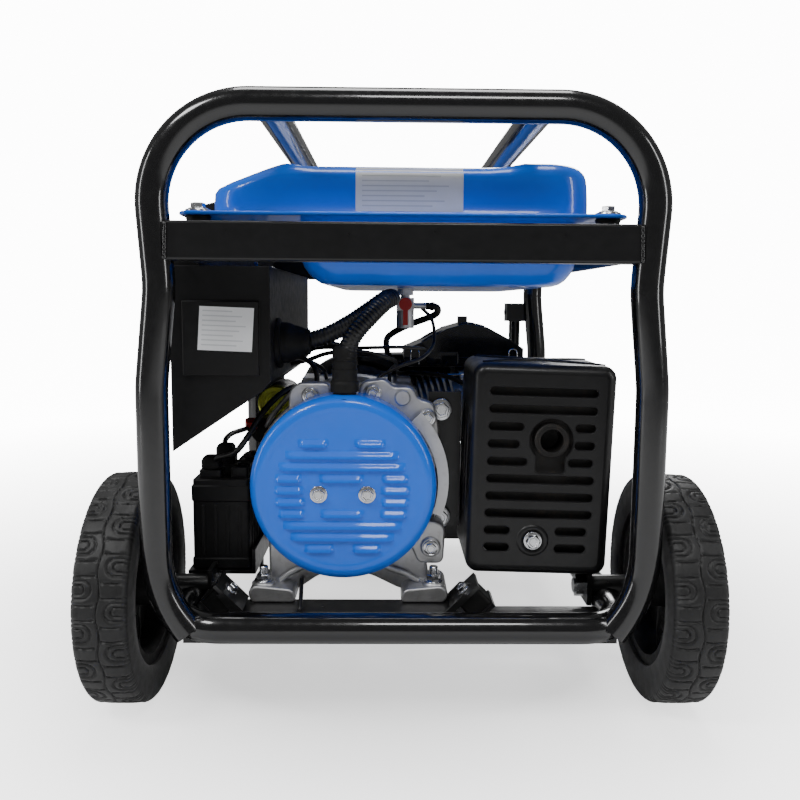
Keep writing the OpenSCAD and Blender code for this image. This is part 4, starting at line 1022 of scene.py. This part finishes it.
# spark plug, boot and lead
pb = Vector((CX, CYLINDER_Y, CZ)) + ax * 190 + Vector((0, -57, 0))
p.lathe([(8.5, -1), (9.5, 2), (9.5, 10), (8.4, 12), (8.4, 26), (7.2, 32), (6.2, 33), (0.4, 33)], pb, FRONT,
        28,
        caps=(True, True))
p.sweep(resample(spline([pb + Vector((0, -28, 0)), pb + Vector((-6, -38, 14)), (96, 10, 330), (66, 16, 343),
                         (22, 30, 346),
                         (2, 60, 343), (-2, 120, 342), (-6, 188, 342)], 14), 3.5), 3.4, 12, ref=(0.3, 0.2, 1))
finish_piece(z, "valve_cover_bolts", M["zinc"], bevel=0.2)
finish_piece(p, "plug_boot_and_lead", M["rubber"], sharp=40)
for a, b in ((-74, 84), (-74, -84), (74, 84), (74, -84), (0, 92), (0, -92)):
    g.bolt((-60 + a, 20.5, 230 + b), FRONT, 5.6, 4.5)
finish_piece(g, "crankcase_bolts", M["zinc"], bevel=0.2)
g = Geo()
for k in range(6):
    a = math.radians(60 * k + 20)
    g.bolt((CX + 102 * math.cos(a), 262.0, CZ + 102 * math.sin(a)), BACK, 5.2, 4)
for k in range(3):
    a = math.radians(120 * k + 50)
    g.bolt((CX + 72 * math.cos(a), 295.5, CZ + 72 * math.sin(a)), BACK, 4.6, 3.6)
finish_piece(g, "shroud_bolts", M["zinc"], bevel=0.2)
# air cleaner trim and clips
g, z = Geo(), Geo()
g.rings([[(x, y, zz) for x, y in round_rect(7.6 + e, 184.4 - e, 65.6 + e, 186.4 - e, 3, 4)] for zz, e in
         ((362, 0.9), (362.8, 0), (366.2, 0), (367, 0.9))], caps=OPEN)
for x0, z0, x1, z1 in ((34, 388.4, 66, 405.4), (104, 416.0, 128, 412.0)):    # ribs pressed in the dome
    for y in (84, 168):
        g.sweep([(x0 + (x1 - x0) * i / 10, y, z0 + (z1 - z0) * i / 10) for i in range(11)],
                [0.6 + 1.4 * math.sin(math.pi * i / 10) for i in range(11)], 10, ref=(0, 1, 0.01))
g.rings([[(x, y, zz) for x, y in round_rect(40 + e, 88 - e, 60.2, 66.2, 2, 3)] for zz, e in
         ((356, 2), (358, 0), (372, 0), (374, 2))])
finish_piece(g, "air_cleaner_trim", M["shroud"], bevel=0.5)
for x in (24, 168):
    z.sweep(spline([(x - 6, 65.2, 356), (x - 6, 63.4, 362), (x - 6, 63.2, 372), (x - 5, 64.8, 377),
                    (x, 65.0, 379),
                    (x + 5, 64.8, 377), (x + 6, 63.2, 372), (x + 6, 63.4, 362), (x + 6, 65.2, 356)], 5),
            1.0, 8,
            ref=(0.02, 1, 0.01))
finish_piece(z, "air_cleaner_clips", M["zinc"], sharp=0)
# carburettor bowl, screws and linkage
g, z = Geo(), Geo()
g.lathe([(12.4, 318), (13.6, 316), (13.6, 306), (12, 302), (6, 300.5), (0.4, 300.5)], (103, 177, 0), UP, 36,
        caps=(False, True))
for x in (90, 116):
    for zz in (324, 345):
        z.bolt((x, 166, zz), FRONT, 3.2, 2.6, flange=False)
z.sweep(spline([(118, 164, 352), (112, 120, 346.5), (100, 40, 345), (70, 28, 344), (40, 30, 344)], 8), 1.3,
        8, ref=(0.1, 0.2, 1))
finish_piece(g, "carburettor_bowl", M["cast"], sharp=36)
finish_piece(z, "linkage", M["zinc"], sharp=36)


# ---------------------------------------------------------------- grips
for side, name in ((-1, "left"), (1, "right")):
    prof = []
    for i in range(113):
        rib = 0.55 * (0.5 + 0.5 * math.cos(2 * math.pi * i / 7)) if 12 < i < 100 else 0.5
        end = 1.0 if i > 4 else 0.75 + 0.25 * math.sin(i / 4 * math.pi / 2)
        prof.append(((12.2 + rib) * end, 177.2 + i))
    prof = [(0.5, 177.0), (9, 177.0)] + prof + [(10.4, 290.5), (10.1, 290.5)]
    finish_piece(Geo().lathe(prof, (side * 213, 352, 0), UP, 40, caps=(True, False)), name + "_grip_ribbed",
                 M["rubber"], body="folding_handle_" + name, replaces=(name + "_grip",),
                 sharp=50)


# ---------------------------------------------------------------- frame hardware
g = Geo()
for side in (-1, 1):
    for y in (-285, -100, 100, 285):
        g.bolt((side * 214.3, y, 500), (-side, 0, 0), 4.4, 3.2)
    if side < 0:
        g.bolt((-195, -293, 106.4), UP, 7.2, 5.2)
for x in (-196, 80):
    for y in (-275, 120):
        s = -1 if x < 0 else 1
        c = Vector((x, y, 124)) + Vector((-s * 0.707, 0, 0.707)) * 15.2
        g.bolt(c, (-s * 0.707, 0, 0.707), 6.2, 5)
finish_piece(g, "frame_hardware", M["zinc"], bevel=0.2)


# ---------------------------------------------------------------- control panel details
PX = -248.0                                   # outer face of the panel plate
METER = Vector((PX, -155, 434))
SOCKET_Z = 370
trim, dial, ticks, post, collar, screws = Geo(), Geo(), Geo(), Geo(), Geo(), Geo()
corners = [(-251.2, 312.8), (131.2, 312.8), (131.2, 467.2), (-251.2, 467.2)]
for k in range(4):
    (y0, z0), (y1, z1) = corners[k], corners[(k + 1) % 4]
    trim.sweep([(PX + 0.3, y0, z0), (PX + 0.3, y1, z1)], 1.5, 8, ref=RIGHT)
for y in (-190, -120, -50):
    trim.lathe([(17.2, 0.6), (17.4, 2.6), (18.6, 3.6), (20.2, 3.2), (21.6, 1.4), (21.8, 0.0)],
               (PX, y, SOCKET_Z), LEFT, 64,
               caps=OPEN)
    screws.lathe([(0.6, 0.0), (2.0, 0.0), (2.2, 0.5), (1.6, 1.1), (0.6, 1.2)], (-238, y, SOCKET_Z), LEFT, 20)
    # two moulded keys at the mouth of the socket
    for dz in (-14.6, 14.6):
        post.box((-247, y - 2.2, SOCKET_Z + dz - 1.6), (-239, y + 2.2, SOCKET_Z + dz + 1.6))
trim.lathe([(23.4, 2.0), (23.8, 4.2), (25.4, 4.8), (27.4, 3.6), (28.2, 0.6), (28.2, 0.0)], METER, LEFT, 72,
           caps=OPEN)
dial.lathe([(0.4, 2.2), (23.6, 2.2)], METER, LEFT, 64, caps=OPEN)
for k in range(21):
    a = math.radians(215 - 12.5 * k)
    u = Vector((0, -math.cos(a), math.sin(a)))
    long = 5.0 if k % 5 == 0 else 2.8
    c = METER + Vector((-2.5, 0, 0))
    ticks.sweep([c + u * (20.5 - long), c + u * 20.5],
                0.42 if k % 5 == 0 else 0.26, 6, ref=RIGHT)
ticks.sweep([(PX - 3.0, -155, 434), (PX - 3.0, -155 + 11.5, 434 - 9.0)], [0.8, 0.25], 8, ref=RIGHT)
ticks.lathe([(0.5, 4.2), (2.4, 4.0), (2.8, 2.4)], METER, LEFT, 24)
for y in (10, 40):
    collar.lathe([(5.4, 0.0), (5.6, 3.4), (6.6, 4.4), (7.9, 3.8), (8.2, 2.4), (8.2, -3.0)], (PX, y, 440),
                 LEFT, 40,
                 caps=OPEN)
    post.lathe([(4.9, -3.0), (4.9, 6.6), (4.4, 7.5), (3.2, 7.9), (0.6, 7.9)], (PX, y, 440), LEFT, 32)
for y, z in ((-243, 321), (122, 321), (-243, 459), (122, 459), (-60, 459), (-60, 321)):
    screws.lathe([(4.4, 0.0), (4.5, 0.8), (3.8, 2.0), (2.4, 2.7), (1.2, 2.8), (1.0, 1.6), (0.5, 1.6)],
                 (PX, y, z), LEFT, 28)
# earth terminal with a wing nut
screws.lathe([(7.5, 0.0), (7.5, 1.4), (4.2, 1.5), (4.2, 6.0), (5.0, 6.4), (5.0, 9.5), (3.0, 9.8),
              (2.6, 15.0), (2.0, 15.4)],
             (PX, 104, 341), LEFT, 28)
for s in (-1, 1):
    screws.sweep([(PX - 7.5, 104 + s * 3.5, 341), (PX - 9.0, 104 + s * 7.5, 341 + s * 1.5),
                  (PX - 11.0, 104 + s * 10.5, 341 + s * 3.0)],
                 [1.6, 2.2, 1.5], 10, ref=RIGHT)
# guard ring round the start switch and a collar for the key
trim.rings([[(x, y, z) for y, z in ((-11.4 - e, 350.6 - e), (13.4 + e, 350.6 - e), (13.4 + e, 389.4 + e),
                                    (-11.4 - e, 389.4 + e))]
            for x, e in ((PX, 1.4), (PX - 2.2, 1.0), (PX - 2.2, -0.6), (PX, -0.9))], caps=OPEN)
screws.lathe([(12.2, 0.0), (12.6, 3.0), (14.4, 3.8), (16.0, 2.6), (16.4, 0.0)], (PX, 70, SOCKET_Z), LEFT,
             48, caps=OPEN)
hanger = Geo().box((-243, -268.6, 482.6), (-214, -264.6, 494))
finish_piece(hanger, "panel_hanger", M["frame"], bevel=0.6)
finish_piece(trim, "panel_trim", M["shroud"], sharp=36)
finish_piece(dial, "voltmeter_dial", M["gauge"], sharp=40)
finish_piece(ticks, "voltmeter_marks", M["dark"], sharp=36)
finish_piece(post, "breaker_posts", M["plastic"], sharp=32)
finish_piece(collar, "breaker_collars", M["zinc"], sharp=32)
finish_piece(screws, "panel_screws", M["zinc"], sharp=34)


# ---------------------------------------------------------------- CAD nodes that stay
def keep(mat, *names, bevel=0.8, seg=2):
    for n in names:
        o = NODES[n]
        if not o.material_slots:
            o.data.materials.append(M[mat])
        for s in o.material_slots:
            s.link = "OBJECT"
            s.material = M[mat]
        wl = o.modifiers.new("weld", "WELD")
        wl.merge_threshold = 0.00002
        if bevel:
            b = o.modifiers.new("edges", "BEVEL")
            b.width, b.segments, b.limit_method, b.angle_limit = bevel * MM, seg, "ANGLE", math.radians(40)
            b.use_clamp_overlap = True
        wn = o.modifiers.new("normals", "WEIGHTED_NORMAL")
        wn.weight, wn.keep_sharp = 60, False


keep("frame", "tank_crossbars", bevel=0.3)
keep("frame", "tank_side_rails", "bed_beams", "mount_brackets", "carrier_bars", "axle_sleeves", "support_leg",
     "handle_brackets", "muffler_bracket", bevel=0.8)
keep("rubber", "rubber_mounts", "rubber_feet", bevel=1.2)
keep("tube", "left_handle", "right_handle", bevel=0.8)
keep("zinc", "axle_bolts", "key_switch", bevel=0.6)
keep("wheel", "left_rim", "right_rim", bevel=0.8)
keep("cast", "crankcase", "carburettor", "fuel_valve", bevel=1.6, seg=3)
keep("cast", "cylinder_head", bevel=0.7)
keep("steel", "stator", "rotor", "crankshaft", bevel=0.8)
keep("iron", "flywheel", bevel=0.8)
keep("shroud", "fan_shroud", bevel=2.0, seg=3)
keep("shroud", "air_cleaner", bevel=5.0, seg=4)
keep("plastic", "recoil_cover", "recoil_grip", "panel_box", "panel_face", "outlets", "starter_relay",
     "choke_lever", "fuel_cap", bevel=1.0)
keep("heat", "muffler_body", bevel=2.0)
keep("yellow", "starter_motor", bevel=1.5, seg=3)
keep("red", "fuel_valve_lever", "breaker_switch", bevel=0.8)
keep("gauge", "fuel_gauge", bevel=0.8)


# ---------------------------------------------------------------- stage, light, camera
def studio():
    verts, faces = [], []
    r, n = 12.0, 48
    for i in range(n):
        a = 2 * math.pi * i / n
        verts.append((r * math.cos(a), r * math.sin(a), 0))
    floor = bpy.data.meshes.new("floor")
    floor.from_pydata(verts, [], [tuple(range(n))])
    o = bpy.data.objects.new("floor", floor)
    bpy.context.scene.collection.objects.link(o)
    m = bpy.data.materials.new("pale_floor")
    m.use_nodes = True
    N, L = m.node_tree.nodes.new, m.node_tree.links.new
    b = m.node_tree.nodes["Principled BSDF"]
    b.inputs["Base Color"].default_value = (0.9, 0.9, 0.9, 1)
    b.inputs["Roughness"].default_value = 0.7
    b.inputs["Specular IOR Level"].default_value = 0.2
    b.inputs["Emission Color"].default_value = (1, 1, 1, 1)
    co, length, seen, glow, both = (N("ShaderNodeTexCoord"), N("ShaderNodeVectorMath"),
                                    N("ShaderNodeLightPath"),
                                    N("ShaderNodeMapRange"), N("ShaderNodeMath"))
    length.operation, both.operation = "LENGTH", "MULTIPLY"
    L(co.outputs["Object"], length.inputs[0])
    L(length.outputs["Value"], glow.inputs["Value"])
    for name, value in (("From Min", 0.3), ("From Max", 2.2), ("To Min", 1.1), ("To Max", 13.0)):
        glow.inputs[name].default_value = value
    L(glow.outputs[0], both.inputs[0])
    L(seen.outputs["Is Camera Ray"], both.inputs[1])
    L(both.outputs[0], b.inputs["Emission Strength"])
    floor.materials.append(m)
    world = bpy.data.worlds.new("studio")
    bpy.context.scene.world = world
    world.use_nodes = True
    bg = world.node_tree.nodes["Background"]
    path = world.node_tree.nodes.new("ShaderNodeLightPath")
    mr = world.node_tree.nodes.new("ShaderNodeMapRange")
    mr.inputs["To Min"].default_value, mr.inputs["To Max"].default_value = 0.16, 13.0
    world.node_tree.links.new(path.outputs["Is Camera Ray"], mr.inputs["Value"])
    world.node_tree.links.new(mr.outputs[0], bg.inputs["Strength"])
    bg.inputs["Color"].default_value = (1, 1, 1, 1)
    for name, loc, to, size, power in (
            ("key", (-1.7, -1.7, 2.6), (0, -0.2, 0.3), (0.9, 0.6), 34),
            ("fill", (2.3, -1.3, 1.2), (0, -0.2, 0.3), (0.25, 1.6), 13),
            ("edge", (-2.3, -0.8, 0.9), (0, -0.2, 0.3), (0.22, 1.5), 11),
            ("front", (0.3, -2.4, 2.7), (0, -0.2, 0.35), (0.9, 0.5), 22),
            ("top", (0.0, 0.3, 3.0), (0, 0, 0.4), (1.6, 1.0), 34),
            ("rear", (0.8, 2.8, 1.8), (0, 0.1, 0.3), (1.4, 0.9), 34)):
        ld = bpy.data.lights.new(name, "AREA")
        ld.shape, ld.size, ld.size_y, ld.energy = "RECTANGLE", size[0], size[1], power
        lo = bpy.data.objects.new(name, ld)
        lo.location = loc
        lo.rotation_euler = (Vector(to) - Vector(loc)).to_track_quat("-Z", "Y").to_euler()
        bpy.context.scene.collection.objects.link(lo)
    cam = bpy.data.cameras.new("camera")
    cam.sensor_width, cam.lens = 36.0, 827.4 * 36.0 / 800.0
    cam.clip_start, cam.clip_end = 0.05, 60
    co = bpy.data.objects.new("camera", cam)
    yaw, tilt, roll = 0.015, 0.1177, 0.0074
    fwd = Vector((math.sin(yaw) * math.cos(tilt), math.cos(yaw) * math.cos(tilt), -math.sin(tilt)))
    right = Vector((math.cos(yaw), -math.sin(yaw), 0))
    up = right.cross(fwd)
    r2 = right * math.cos(roll) + up * math.sin(roll)
    u2 = up * math.cos(roll) - right * math.sin(roll)
    mat = Matrix((r2, u2, -fwd)).transposed().to_4x4()
    mat.translation = Vector((-0.0155, -1.1492, 0.4464))
    co.matrix_world = mat
    bpy.context.scene.collection.objects.link(co)
    bpy.context.scene.camera = co


studio()
